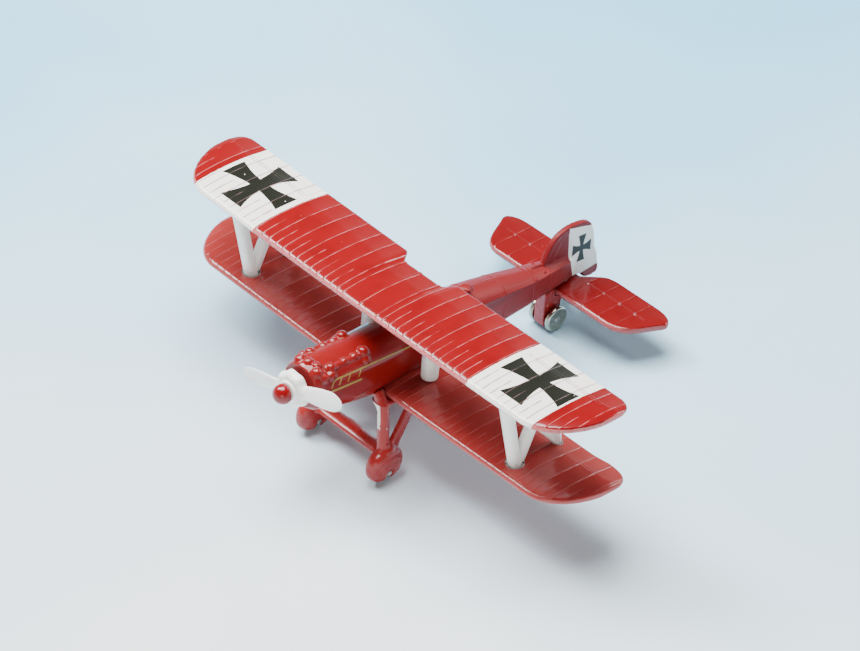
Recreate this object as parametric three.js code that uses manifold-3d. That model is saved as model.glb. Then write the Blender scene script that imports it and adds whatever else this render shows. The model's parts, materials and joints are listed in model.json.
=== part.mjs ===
// Die-cast toy biplane on two spatted main wheels and two tail wheels.
// Millimetres, +Z up, nose toward -Y, port wing toward +X.
//
// Every piece is drawn in the aircraft's own frame: X to port, Y aft of the upper wing's
// leading edge, Z up from the upper wing's chord plane. The finished aircraft is pitched
// nose-up until its wheels share one ground plane, and is centred over the origin.

import * as THREE from 'three';
import { mergeVertices } from 'three/addons/utils/BufferGeometryUtils.js';
import Module from 'manifold-3d';

const wasm = await Module();
wasm.setup();

// Gap left between two pieces that touch on the real toy, and running clearance on a shaft.
const GAP = 0.3;
const RUNNING = 0.09;
// How far two solids of one piece run into each other, and limits beyond the whole aircraft for cuts.
const WELD = 0.1;
const BELOW = -45;
const ABOVE = 5;
const WIDE = 20;

// Wings: the surface between the two skins starts at `level` and rises by the camber.
const UPPER_WING = { leading: 0, chord: 20.2, halfSpan: 55.4, level: -0.65, notch: 2.8 };
const LOWER_WING = { leading: 4.3, chord: 18.6, halfSpan: 54.5, level: -20.15, notch: 0 };
const WING = { thickness: 1.3, camber: 0.7, tipLength: 10.7, cornerLength: 4, widest: 0.775 };
const RIBS = { first: 6.3, pitch: 3.93, count: 12, centre: 4.7, rise: 0.12, between: [2.3, 5.5] };
const NOTCH = { inner: 4.8, outer: 7.8 };
// Outboard of `from` both wings and their struts rise by this much per millimetre of span.
const DIHEDRAL = { from: 11, slope: 0.0135 };

// Struts between the wings, as seen on the port side.
const STRUT = {
  x: 37.8,
  radius: 1.35,
  rear: 1.15,
  frontTop: 3.3,
  frontFoot: 8.2,
  rearTop: 14.9,
  rearFoot: 19.6,
};
// How far the diagonal's ends lie behind the front and rear legs' own ends.
const DIAGONAL = { foot: 0.5, top: 0.4, lift: 0.3 };
// The web that fills the angle between a strut's diagonal and rear legs, and the flat inner side of the legs.
const WEB = { flat: 0.9, apexY: 12.6, apexZ: -12.8, lean: 0.5, bottom: -18.6, top: -1.6 };
const CABANE = { x: 8.6, y: 13.2, topRadius: 1.95, footRadius: 1.75 };
const PEG = { radius: 0.7, socket: 1.0, boss: 2.1, bossDrop: 0.5 };
const STAKE = { spigot: 1.3, hole: 1.65, head: 2.15, thick: 0.5, root: 1.6, frontRise: 0.25 };
const REAR_STAKE = { head: 1.4, rise: 0.1 };

// Fuselage sections, nose to tail: upper and lower are superellipse exponents.
const FUSELAGE = [
  { y: -13.7, width: 4.7, crest: -8.6, shoulder: -13.1, keel: -17.8, upper: 2.0, lower: 2.2 },
  { y: -12.7, width: 5.1, crest: -8.2, shoulder: -13.1, keel: -18.3, upper: 2.1, lower: 2.5 },
  { y: -8, width: 5.4, crest: -8.3, shoulder: -13.1, keel: -19.2, upper: 2.1, lower: 3.5 },
  { y: -2, width: 5.5, crest: -8.5, shoulder: -13.2, keel: -20.2, upper: 2.0, lower: 5 },
  { y: 3, width: 5.5, crest: -8.7, shoulder: -13.3, keel: -20.5, upper: 2.0, lower: 6 },
  { y: 13, width: 5.4, crest: -8.7, shoulder: -13.0, keel: -20.5, upper: 2.0, lower: 6 },
  { y: 24, width: 4.9, crest: -8.9, shoulder: -12.2, keel: -20.5, upper: 1.9, lower: 6 },
  { y: 32, width: 4.1, crest: -9.9, shoulder: -12.1, keel: -20.5, upper: 1.6, lower: 6 },
  { y: 40, width: 3.7, crest: -11.4, shoulder: -13.2, keel: -20.4, upper: 1.5, lower: 6 },
  { y: 46.7, width: 3.1, crest: -13.1, shoulder: -14.4, keel: -20.3, upper: 1.5, lower: 6 },
  { y: 52, width: 2.4, crest: -14.0, shoulder: -15.0, keel: -20.3, upper: 1.5, lower: 6 },
  { y: 58, width: 1.55, crest: -14.9, shoulder: -15.8, keel: -20.6, upper: 1.5, lower: 6 },
  { y: 60.9, width: 1.1, crest: -15.4, shoulder: -16.2, keel: -20.8, upper: 1.5, lower: 5 },
];
// Side outline of the fin and rudder, as places on Y and Z.
const FIN = {
  halfThick: 0.65,
  root: [50.5, -16.5],
  shoulder: [52.6, -11.8],
  crown: [58.6, -7.2],
  top: [61.6, -7.4],
  rear: [65.8, -11.2],
  waist: [66.8, -15.6],
  bulge: [67.8, -17.8],
  heel: [68.5, -22.1],
  toe: [64, -22.4],
  instep: [63.7, -20.7],
  foot: [58, -20],
};
const COCKPIT = { y: 25, halfWidth: 2.4, halfLength: 2.9, floor: -12.4, height: 10 };
const HEADREST = { y: 29.6, z: -10.6, halfWidth: 1.6, halfLength: 2.6, halfHeight: 1.5 };
const ENGINE = { rowX: 3, rowZ: -9.6, rowRadius: 0.95, rowFront: -9.2, rowBack: 0.6, capZ: -9.05 };
// Rocker caps along each row, as places on Y and radii.
const CAPS = [[-8.8, 1.1], [-5.3, 0.85], [-2.7, 0.8], [-0.3, 1.3]];
// Blunt plugs around the front of the nose: X, Y, Z of each middle.
const PLUGS = [
  [-2.4, -12.9, -9.3],
  [0, -12.4, -8.8],
  [1.7, -12, -8.8],
  [2.9, -12.9, -9.6],
  [4.1, -11.8, -10],
  [3.9, -9.6, -9.9],
];
const PLUG = { root: 1.35, tip: 0.6, reach: 0.75 };
const SADDLE = { front: 3.9, back: 23.3, top: -18.35 };
const HOLLOW = { halfWidth: 3.9, front: 5.2, back: 21.8, top: -11.6 };

// Belly plate and the rivets that clamp the lower wing.
const BELLY = { front: 3.6, back: 27, halfWidth: 4.6, top: -20.8, thick: 0.8, corner: 1.2 };
const PANEL = { halfWidth: 3.2, front: 10.4, back: 16.6, thick: 0.3 };
const RIVET = { shank: 0.8, hole: 1.1, head: 1.5, headThick: 0.6, post: 1.9, tip: -15.4, at: [8.2, 18.8] };

// Tail.
const TAILPLANE = { leading: 55.6, trailing: 67.7, halfSpan: 23.1, top: -21.2, thick: 1.3, bevel: 0.4 };
const TAIL_ROUND = { root: 0.9, rootIn: 4.2, rootOut: 7, rear: 2.6, front: 4.2, sweep: 2.4, frontRise: 3.2 };
const TAIL_NOTCH = { halfWidth: 1.1, front: 63.2 };
const BRACKET = { halfWidth: 1.4, front: 52.6, back: 60.8, top: -21.2, bottom: -29.5 };
const BRACKET_FOOT = { z: -22.7, thick: 0.9 };
const BRACKET_LEG = { front: 53.1, back: 57.7, frontCorner: 0.8, backCorner: 1.3, fillet: 0.5 };
const TAIL_RIVET = { y: 59.5, shank: 0.5, hole: 0.8, head: 1.1, headThick: 0.5, tip: -17.8 };
const TAIL_WHEEL = { y: 55.65, z: -27.75, radius: 2.8, inner: 1.75, width: 1.1 };
const TAIL_AXLE_RADIUS = 0.6;
// Rounded edge of a wheel, its dished face as shares of the radius, and how deep that face lies.
const RIM = { round: 0.22, inner: 0.84, dish: 0.78, depth: 0.12 };
const PRESS_FIT = 0.05;

// Main gear, as seen on the port side.
const SPAT = { x: 10.1, y: 1.4, z: -33.35, halfWidth: 2.05, halfLength: 4.3, halfHeight: 3.65, power: 2.4 };
const MAIN_WHEEL = { z: -34.8, radius: 2.45, width: 1.0 };
const MAIN_AXLE_RADIUS = 0.55;
const WELL = { halfWidth: 0.8, radius: 2.8, slot: 0.85 };
const FRONT_LEG = { radius: 1.2, foot: [10, 0.9, -31], top: [7.1, 2.6, -21] };
const REAR_LEG = { radius: 0.95, breadth: 1.58, foot: [9.9, 2.9, -31.1], top: [7.2, 12.5, -21] };
const ROOT_PAD = { inner: 4.95, outer: 8.1, front: 1.5, back: 14.6, top: -20.8, thick: 0.8, corner: 1.6 };
const FAIRING = { y: 1.7, z: -31.3, halfChord: 1.85, halfThick: 0.85, power: 2.4 };

// Propeller and its pin.
const PROPELLER = { z: -13.1, front: -16.7, back: -14.6, hubRadius: 3.75, wave: 0.2, waves: 8 };
const BOSS = { radius: 2.2, rise: 0.5 };
const BLADE = { tip: 14.3, root: 2, chord: 4.1, pitch: 12, twist: 10, thick: 1.0, lift: 18.6 };
const SPINNER = { y: -18.2, radius: 2.05, collar: 1.5, shank: 0.7, tip: -9.5 };

// Pitch that brings the main and tail wheels down to one ground plane.
const wheelBase = TAIL_WHEEL.y - SPAT.y;
const wheelRise = TAIL_WHEEL.z - MAIN_WHEEL.z;
const wheelSpan = Math.hypot(wheelBase, wheelRise);
const PITCH = Math.atan2(wheelRise, wheelBase)
  + Math.asin((MAIN_WHEEL.radius - TAIL_WHEEL.radius) / wheelSpan);

const RED = { color: 0xb5120f, roughness: 0.22, metalness: 0.1 };
const WHITE = { color: 0xeeeee6, roughness: 0.45, metalness: 0 };
const BRIGHT = { color: 0xc9c5b4, roughness: 0.2, metalness: 1 };
const STEEL = { color: 0x8d8d8a, roughness: 0.4, metalness: 1 };

const model = new THREE.Group();
const aircraft = new THREE.Group();
aircraft.rotation.x = -PITCH;
model.add(aircraft);

// --- Solid tools -----------------------------------------------------------------------

function toSolid(geometry) {
  const plain = geometry.clone();
  plain.deleteAttribute('normal');
  plain.deleteAttribute('uv');
  const merged = mergeVertices(plain, 1e-4);
  const vertProperties = Float32Array.from(merged.attributes.position.array);
  const triVerts = Uint32Array.from(merged.index.array);
  return new wasm.Manifold(new wasm.Mesh({ numProp: 3, vertProperties, triVerts }));
}

function addPiece(name, solid, look) {
  const mesh = solid.getMesh();
  const geometry = new THREE.BufferGeometry();
  geometry.setAttribute('position', new THREE.BufferAttribute(Float32Array.from(mesh.vertProperties), 3));
  geometry.setIndex(new THREE.BufferAttribute(Uint32Array.from(mesh.triVerts), 1));
  geometry.computeVertexNormals();
  const piece = new THREE.Mesh(geometry, new THREE.MeshStandardMaterial(look));
  piece.name = name;
  aircraft.add(piece);
}

// Closed skin over a row of rings with equal point counts, capped by a fan at each end.
function loft(rings) {
  const count = rings[0].length;
  const points = rings.flat();
  const triangles = [];
  for (let ring = 0; ring + 1 < rings.length; ring += 1) {
    for (let step = 0; step < count; step += 1) {
      const a = ring * count + step;
      const b = ring * count + (step + 1) % count;
      triangles.push([a, b, b + count], [a, b + count, a + count]);
    }
  }
  const centres = [rings[0], rings[rings.length - 1]].map((ring) => {
    const centre = new THREE.Vector3();
    ring.forEach((point) => centre.addScaledVector(point, 1 / count));
    return centre;
  });
  const last = (rings.length - 1) * count;
  for (let step = 0; step < count; step += 1) {
    const next = (step + 1) % count;
    triangles.push([points.length, next, step]);
    triangles.push([points.length + 1, last + step, last + next]);
  }
  const all = points.concat(centres);
  const volume = triangles.reduce((sum, [a, b, c]) => {
    const normal = new THREE.Vector3().crossVectors(all[b], all[c]);
    return sum + all[a].dot(normal);
  }, 0);
  const outward = volume > 0 ? triangles : triangles.map(([a, b, c]) => [a, c, b]);
  const geometry = new THREE.BufferGeometry().setFromPoints(all);
  geometry.setIndex(outward.flat());
  return toSolid(geometry);
}

function box(low, high) {
  const size = high.map((value, axis) => value - low[axis]);
  const geometry = new THREE.BoxGeometry(size[0], size[1], size[2]);
  geometry.translate(low[0] + size[0] / 2, low[1] + size[1] / 2, low[2] + size[2] / 2);
  return toSolid(geometry);
}

// Rod between two points; `radiusTo` is its radius at the second point, and `breadth` stretches
// its section in the fore-and-aft plane.
function rod(from, to, radius, sides, radiusTo = radius, breadth = 1) {
  const start = new THREE.Vector3(...from);
  const end = new THREE.Vector3(...to);
  const along = end.clone().sub(start);
  const geometry = new THREE.CylinderGeometry(radiusTo, radius, along.length(), sides);
  geometry.scale(1, 1, breadth);
  const turn = new THREE.Quaternion().setFromUnitVectors(new THREE.Vector3(0, 1, 0), along.normalize());
  geometry.applyQuaternion(turn);
  const middle = start.add(end).multiplyScalar(0.5);
  geometry.translate(middle.x, middle.y, middle.z);
  return toSolid(geometry);
}

function upright(x, y, low, high, radius, sides = 16) {
  return rod([x, y, low], [x, y, high], radius, sides);
}

function ellipsoid(centre, halfSizes, widthSegments = 12, heightSegments = 8) {
  const geometry = new THREE.SphereGeometry(1, widthSegments, heightSegments);
  geometry.scale(...halfSizes);
  geometry.translate(...centre);
  return toSolid(geometry);
}

// Outline drawn in the side view (Y, Z), made `high - low` thick along X.
function sidePlate(shape, low, high, curveSegments = 6) {
  const depth = high - low;
  const geometry = new THREE.ExtrudeGeometry(shape, { depth, bevelEnabled: false, curveSegments });
  const basis = new THREE.Matrix4().makeBasis(
    new THREE.Vector3(0, 1, 0),
    new THREE.Vector3(0, 0, 1),
    new THREE.Vector3(1, 0, 0),
  );
  geometry.applyMatrix4(basis);
  geometry.translate(low, 0, 0);
  return toSolid(geometry);
}

// Surface of revolution about an axis parallel to X; the profile gives (distance along X, radius).
function turnedAboutX(profile, centre, segments) {
  const points = profile.map(([along, radius]) => new THREE.Vector2(radius, along));
  const geometry = new THREE.LatheGeometry(points, segments);
  geometry.rotateZ(-Math.PI / 2);
  geometry.translate(centre[0], centre[1], centre[2]);
  return toSolid(geometry);
}

function join(first, ...others) {
  return others.reduce((sum, other) => sum.add(other), first);
}

function cut(first, ...others) {
  return others.reduce((rest, other) => rest.subtract(other), first);
}

function superPower(value, exponent) {
  return Math.sign(value) * Math.abs(value) ** (2 / exponent);
}

// --- Wings -----------------------------------------------------------------------------

function leadingEdge(wing, x) {
  const reach = (Math.abs(x) - (wing.halfSpan - WING.tipLength)) / WING.tipLength;
  const sweep = reach > 0 ? 1 - Math.sqrt(Math.max(0, 1 - reach * reach)) : 0;
  return wing.leading + wing.chord * WING.widest * sweep;
}

function trailingEdge(wing, x) {
  const distance = Math.abs(x);
  const reach = (distance - (wing.halfSpan - WING.cornerLength)) / WING.cornerLength;
  const corner = reach > 0 ? Math.max(0, 1 - reach ** 2.5) ** 0.4 : 1;
  const blend = THREE.MathUtils.smoothstep(distance, NOTCH.inner, NOTCH.outer);
  const full = wing.leading + wing.chord * (WING.widest + (1 - WING.widest) * corner);
  return full - wing.notch * (1 - blend);
}

// Height of the surface between the skins at a share of the chord.
function camberAt(share) {
  return WING.camber * Math.sin(Math.PI * share ** 0.8);
}

function thicknessAt(share) {
  const nose = Math.min(1, share / 0.1);
  const front = Math.sqrt(1 - (1 - nose) ** 2);
  const back = 1 - 0.5 * Math.max(0, (share - 0.7) / 0.3);
  return WING.thickness * front * back;
}

function ribStations() {
  const [inner, outer] = RIBS.between;
  const stations = [0, inner, RIBS.centre, outer];
  for (let rib = 0; rib < RIBS.count - 2; rib += 1) {
    const x = RIBS.first + rib * RIBS.pitch;
    stations.push(x, x + RIBS.pitch / 2);
  }
  return stations;
}

function isRib(x) {
  const distance = Math.abs(x);
  const count = (distance - RIBS.first) / RIBS.pitch;
  const regular = Math.abs(count - Math.round(count)) < 0.01 && count > -0.01;
  return regular || distance === 0 || distance === RIBS.centre;
}

function wingSolid(wing) {
  const shares = [0.03, 0.1, 0.25, 0.45, 0.7, 1];
  const inboard = ribStations().filter((x) => x < wing.halfSpan - WING.tipLength);
  const tips = [0, 20, 38, 54, 68, 80].map((degrees) => {
    const reach = Math.sin(THREE.MathUtils.degToRad(degrees));
    return wing.halfSpan - WING.tipLength * (1 - reach);
  });
  const half = inboard.concat(tips);
  const stations = half.slice(1).reverse().map((x) => -x).concat(half);
  const rings = stations.map((x) => {
    const front = leadingEdge(wing, x);
    const chord = trailingEdge(wing, x) - front;
    const reach = Math.max(0, (Math.abs(x) - wing.halfSpan) / WING.tipLength + 1);
    const thin = Math.max(0.35, Math.sqrt(Math.max(0, 1 - reach ** 8)));
    const rise = isRib(x) ? RIBS.rise : 0;
    const at = (share, side) => {
      const skin = side * thicknessAt(share) * thin / 2;
      const rib = side > 0 ? rise : 0;
      const z = wing.level + camberAt(share) * chord / wing.chord + skin + rib;
      return new THREE.Vector3(x, front + share * chord, z);
    };
    const upper = shares.map((share) => at(share, 1));
    const lower = shares.map((share) => at(share, -1)).reverse();
    return [new THREE.Vector3(x, front, wing.level), ...upper, ...lower];
  });
  return loft(rings);
}

const sides = [['port', 1], ['starboard', -1]];

function raisedOutboard(solid) {
  return solid.warp((point) => {
    point[2] += DIHEDRAL.slope * Math.max(0, Math.abs(point[0]) - DIHEDRAL.from);
  });
}

// Bosses under the upper wing, where the pegs of the struts and posts end.
const upperPegs = sides.flatMap(([, side]) => [
  { x: side * STRUT.x, y: STRUT.frontTop, radius: PEG.boss },
  { x: side * STRUT.x, y: STRUT.rearTop, radius: PEG.boss },
  { x: side * CABANE.x, y: CABANE.y, radius: CABANE.topRadius + 0.3 },
]);
const upperSkin = UPPER_WING.level - WING.thickness / 2 + 0.35;
const lowerSkin = LOWER_WING.level - WING.thickness / 2;
const lowerFloor = LOWER_WING.level + 0.65;

function withBosses(wing) {
  const low = upperSkin - PEG.bossDrop;
  const bosses = upperPegs.map(({ x, y, radius }) => upright(x, y, low, UPPER_WING.level + 0.2, radius));
  return join(wing, ...bosses);
}

function withSockets(wing) {
  const low = upperSkin - PEG.bossDrop - 1;
  const sockets = upperPegs.map(({ x, y }) => upright(x, y, low, UPPER_WING.level + 0.3, PEG.socket, 12));
  return cut(wing, ...sockets);
}

function withHoles(wing) {
  const through = [LOWER_WING.level - 2, LOWER_WING.level + 3];
  const struts = sides.flatMap(([, side]) => [
    upright(side * STRUT.x, STRUT.frontFoot, ...through, STAKE.hole, 20),
    upright(side * STRUT.x, STRUT.rearFoot, ...through, PEG.socket, 12),
    upright(side * CABANE.x, CABANE.y, lowerFloor, through[1], PEG.socket, 12),
  ]);
  const rivets = RIVET.at.map((y) => upright(0, y, ...through, RIVET.hole, 12));
  return cut(wing, ...struts, ...rivets);
}

const upperBlank = withBosses(wingSolid(UPPER_WING));
const lowerBlank = wingSolid(LOWER_WING);
addPiece('upper_wing', raisedOutboard(withSockets(upperBlank)), RED);
addPiece('lower_wing', raisedOutboard(withHoles(lowerBlank)), RED);

// --- Struts ----------------------------------------------------------------------------

// Room that a strut end leaves to both wings.
const wingRoom = [lowerBlank.translate([0, 0, GAP]), upperBlank.translate([0, 0, -GAP])];

function interplaneStrut(side) {
  const x = side * STRUT.x;
  const top = UPPER_WING.level - WELD;
  const foot = LOWER_WING.level + 0.4;
  const front = rod([x, STRUT.frontFoot, foot], [x, STRUT.frontTop, top], STRUT.radius, 14);
  const diagonal = rod(
    [x, STRUT.frontFoot + DIAGONAL.foot, foot + DIAGONAL.lift],
    [x, STRUT.rearTop + DIAGONAL.top, top],
    STRUT.radius,
    14,
  );
  const rear = rod([x, STRUT.rearFoot, foot], [x, STRUT.rearTop, top], STRUT.rear, 12);
  const web = new THREE.Shape();
  web.moveTo(WEB.apexY - STRUT.radius, WEB.apexZ);
  web.lineTo(WEB.apexY, WEB.apexZ);
  web.lineTo(STRUT.rearFoot - STRUT.rear, WEB.bottom);
  web.lineTo(STRUT.rearFoot, WEB.bottom);
  web.lineTo(STRUT.rearTop + WEB.lean, WEB.top);
  web.lineTo(STRUT.rearTop - WEB.lean, WEB.top);
  const gusset = sidePlate(web, x - WEB.flat, x + WEB.flat);
  const outer = 3 * STRUT.radius;
  const inner = Math.min(side * (STRUT.x - WEB.flat), side * (STRUT.x + outer));
  const slab = box([inner, 0, lowerFloor], [inner + WEB.flat + outer, STRUT.rearFoot + outer, ABOVE]);
  const frame = cut(join(front, diagonal, rear, gusset).intersect(slab), ...wingRoom);
  const pegTop = UPPER_WING.level;
  const frontPeg = upright(x, STRUT.frontTop, top - 2, pegTop, PEG.radius, 12);
  const rearPeg = upright(x, STRUT.rearTop, top - 2, pegTop, PEG.radius, 12);
  const headTop = lowerSkin + STAKE.frontRise;
  const spigot = upright(x, STRUT.frontFoot, headTop - WELD, foot + STAKE.root, STAKE.spigot, 16);
  const head = upright(x, STRUT.frontFoot, headTop - STAKE.thick, headTop, STAKE.head, 16);
  const rearHeadTop = lowerSkin + REAR_STAKE.rise;
  const rearSpigot = upright(x, STRUT.rearFoot, rearHeadTop - WELD, foot + STAKE.root, PEG.radius, 12);
  const rearHead = upright(x, STRUT.rearFoot, rearHeadTop - STAKE.thick, rearHeadTop, REAR_STAKE.head, 12);
  return join(frame, frontPeg, rearPeg, spigot, head, rearSpigot, rearHead);
}

function cabanePost(side) {
  const x = side * CABANE.x;
  const foot = [x, CABANE.y, LOWER_WING.level + 0.5];
  const top = [x, CABANE.y, UPPER_WING.level - WELD];
  const post = cut(rod(foot, top, CABANE.footRadius, 18, CABANE.topRadius), ...wingRoom);
  const upperPeg = upright(x, CABANE.y, top[2] - 2, UPPER_WING.level, PEG.radius, 12);
  const lowerPeg = upright(x, CABANE.y, lowerFloor + GAP, foot[2] + 2.5, PEG.radius, 12);
  return join(post, upperPeg, lowerPeg);
}

sides.forEach(([name, side]) => {
  addPiece(`${name}_interplane_strut`, raisedOutboard(interplaneStrut(side)), WHITE);
  addPiece(`${name}_cabane_post`, cabanePost(side), WHITE);
});

// --- Fuselage --------------------------------------------------------------------------

function fuselageRing(station) {
  const steps = 20;
  const ring = [];
  for (let step = 0; step < steps; step += 1) {
    const angle = 2 * Math.PI * step / steps;
    const up = Math.sin(angle) > 0;
    const exponent = up ? station.upper : station.lower;
    const height = up ? station.crest - station.shoulder : station.shoulder - station.keel;
    const x = station.width * superPower(Math.cos(angle), exponent);
    const z = station.shoulder + height * superPower(Math.sin(angle), exponent);
    ring.push(new THREE.Vector3(x, station.y, z));
  }
  return ring;
}

function finSolid() {
  const { root, shoulder, crown, top, rear, waist, bulge, heel, toe, instep, foot } = FIN;
  const fin = new THREE.Shape();
  fin.moveTo(...root);
  fin.lineTo(...shoulder);
  fin.quadraticCurveTo((shoulder[0] + crown[0]) / 2, crown[1], ...crown);
  fin.lineTo(...top);
  fin.quadraticCurveTo(rear[0] - 0.6, top[1] - 0.6, ...rear);
  fin.lineTo(...waist);
  fin.lineTo(...bulge);
  fin.lineTo(...heel);
  fin.quadraticCurveTo(heel[0], heel[1] - 0.8, heel[0] - 0.8, heel[1] - 0.8);
  fin.lineTo(...toe);
  fin.lineTo(...instep);
  fin.lineTo(...foot);
  return sidePlate(fin, -FIN.halfThick, FIN.halfThick);
}

// Two rows of rocker caps on the nose, and the blunt plugs around its front.
function engineRelief() {
  const rows = sides.flatMap(([, side]) => {
    const x = side * ENGINE.rowX;
    const railEnds = [ENGINE.rowFront, ENGINE.rowBack].map((y) => [x, y, ENGINE.rowZ]);
    const rail = rod(...railEnds, ENGINE.rowRadius, 10);
    const domes = CAPS.map(([y, r]) => ellipsoid([x, y, ENGINE.capZ], [r, r, r], 10, 6));
    return [rail, ...domes];
  });
  const plugs = PLUGS.map(([x, y, z]) => {
    const out = new THREE.Vector3(x, 0, z - PROPELLER.z).normalize();
    const tip = [x + out.x * PLUG.reach, y, z + out.z * PLUG.reach];
    const root = [x - out.x * PLUG.reach, y, z - out.z * PLUG.reach];
    return rod(root, tip, PLUG.root, 8, PLUG.tip);
  });
  return rows.concat(plugs);
}

function fuselageSolid() {
  const hull = loft(FUSELAGE.map(fuselageRing));
  const headrest = ellipsoid(
    [0, HEADREST.y, HEADREST.z],
    [HEADREST.halfWidth, HEADREST.halfLength, HEADREST.halfHeight],
  );
  const body = join(hull, finSolid(), headrest, ...engineRelief());
  const cockpitCut = new THREE.CylinderGeometry(COCKPIT.halfWidth, COCKPIT.halfWidth, COCKPIT.height, 16);
  cockpitCut.rotateX(Math.PI / 2);
  cockpitCut.scale(1, COCKPIT.halfLength / COCKPIT.halfWidth, 1);
  cockpitCut.translate(0, COCKPIT.y, COCKPIT.floor + COCKPIT.height / 2);
  const saddle = box([-WIDE, SADDLE.front, BELOW], [WIDE, SADDLE.back, SADDLE.top]);
  const hollow = box([-HOLLOW.halfWidth, HOLLOW.front, BELOW], [HOLLOW.halfWidth, HOLLOW.back, HOLLOW.top]);
  const posts = RIVET.at.map((y) => upright(0, y, SADDLE.top, HOLLOW.top + 1, RIVET.post, 14));
  const rivetHoles = RIVET.at.map((y) => upright(0, y, BELOW, RIVET.tip + GAP, RIVET.hole, 12));
  const pinHole = rod([0, -WIDE, PROPELLER.z], [0, SPINNER.tip + GAP, PROPELLER.z], SPINNER.shank + GAP, 12);
  const tailHole = upright(0, TAIL_RIVET.y, BELOW, TAIL_RIVET.tip + GAP, TAIL_RIVET.hole, 12);
  const shell = cut(body, toSolid(cockpitCut), saddle, hollow);
  return cut(join(shell, ...posts), ...rivetHoles, pinHole, tailHole);
}

addPiece('fuselage', fuselageSolid(), RED);

function bellyPlate() {
  const shape = new THREE.Shape();
  const { front, back, halfWidth, corner } = BELLY;
  shape.moveTo(-halfWidth + corner, front);
  shape.lineTo(halfWidth - corner, front);
  shape.quadraticCurveTo(halfWidth, front, halfWidth, front + corner);
  shape.lineTo(halfWidth, back - 3 * corner);
  shape.quadraticCurveTo(halfWidth, back, halfWidth - 2 * corner, back);
  shape.lineTo(-halfWidth + 2 * corner, back);
  shape.quadraticCurveTo(-halfWidth, back, -halfWidth, back - 3 * corner);
  shape.lineTo(-halfWidth, front + corner);
  shape.quadraticCurveTo(-halfWidth, front, -halfWidth + corner, front);
  const plate = new THREE.ExtrudeGeometry(shape, {
    depth: BELLY.thick,
    bevelEnabled: false,
    curveSegments: 4,
  });
  plate.translate(0, 0, BELLY.top - BELLY.thick);
  const under = BELLY.top - BELLY.thick;
  const panel = box(
    [-PANEL.halfWidth, PANEL.front, under - PANEL.thick],
    [PANEL.halfWidth, PANEL.back, under + PANEL.thick],
  );
  const holes = RIVET.at.map((y) => upright(0, y, BELOW, ABOVE, RIVET.hole, 12));
  return cut(join(toSolid(plate), panel), ...holes);
}

addPiece('belly_plate', bellyPlate(), RED);
RIVET.at.forEach((y, index) => {
  const headTop = BELLY.top - BELLY.thick - GAP;
  const head = upright(0, y, headTop - RIVET.headThick, headTop, RIVET.head, 16);
  const shank = upright(0, y, headTop - WELD, RIVET.tip, RIVET.shank, 12);
  addPiece(['front_belly_rivet', 'rear_belly_rivet'][index], join(head, shank), STEEL);
});

// --- Tail ------------------------------------------------------------------------------

function tailplaneSolid() {
  const { leading, trailing, halfSpan, bevel, thick, top } = TAILPLANE;
  const { root, rootIn, rootOut, rear, front, sweep, frontRise } = TAIL_ROUND;
  const shape = new THREE.Shape();
  const overlap = TAIL_NOTCH.halfWidth;
  shape.moveTo(-overlap, leading);
  shape.lineTo(halfSpan - sweep - front, leading);
  shape.quadraticCurveTo(halfSpan - sweep - bevel, leading, halfSpan - sweep, leading + frontRise);
  shape.lineTo(halfSpan - bevel / 4, trailing - rear);
  shape.quadraticCurveTo(halfSpan, trailing, halfSpan - rear, trailing);
  shape.lineTo(rootOut, trailing);
  shape.quadraticCurveTo((rootIn + rootOut) / 2, trailing, rootIn, trailing - root);
  shape.lineTo(TAIL_NOTCH.halfWidth, TAIL_NOTCH.front);
  shape.lineTo(-overlap, TAIL_NOTCH.front);
  const geometry = new THREE.ExtrudeGeometry(shape, {
    depth: thick - 2 * bevel,
    bevelThickness: bevel,
    bevelSize: bevel,
    bevelOffset: -bevel,
    bevelSegments: 1,
    curveSegments: 5,
  });
  geometry.translate(0, 0, top - thick + bevel);
  const half = toSolid(geometry);
  const rudderRoom = box(
    [-TAIL_NOTCH.halfWidth, TAIL_NOTCH.front, BELOW],
    [TAIL_NOTCH.halfWidth, trailing + 1, ABOVE],
  );
  const rivetHole = upright(0, TAIL_RIVET.y, BELOW, ABOVE, TAIL_RIVET.hole, 12);
  return cut(join(half, half.mirror([1, 0, 0])), rudderRoom, rivetHole);
}

addPiece('tailplane', tailplaneSolid(), RED);

function bracketSolid() {
  const shape = new THREE.Shape();
  const { front, back, top, bottom, halfWidth } = BRACKET;
  const foot = BRACKET_FOOT.z;
  const sole = foot - BRACKET_FOOT.thick;
  const leg = BRACKET_LEG;
  shape.moveTo(front, top);
  shape.lineTo(TAILPLANE.leading - GAP, top);
  shape.lineTo(TAILPLANE.leading - GAP, foot);
  shape.lineTo(back, foot);
  shape.lineTo(back, sole);
  shape.lineTo(leg.back + leg.fillet, sole);
  shape.quadraticCurveTo(leg.back, sole, leg.back, sole - leg.fillet);
  shape.lineTo(leg.back, bottom + leg.backCorner);
  shape.quadraticCurveTo(leg.back, bottom, leg.back - leg.backCorner, bottom);
  shape.lineTo(leg.front + leg.frontCorner, bottom);
  shape.quadraticCurveTo(leg.front, bottom, leg.front, bottom + leg.frontCorner);
  const plate = sidePlate(shape, -halfWidth, halfWidth, 4);
  const bore = rod(
    [-WIDE, TAIL_WHEEL.y, TAIL_WHEEL.z],
    [WIDE, TAIL_WHEEL.y, TAIL_WHEEL.z],
    TAIL_AXLE_RADIUS + RUNNING,
    24,
  );
  const rivetHole = upright(0, TAIL_RIVET.y, BELOW, ABOVE, TAIL_RIVET.hole, 12);
  return cut(plate, bore, rivetHole);
}

addPiece('tail_wheel_bracket', bracketSolid(), RED);

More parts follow.
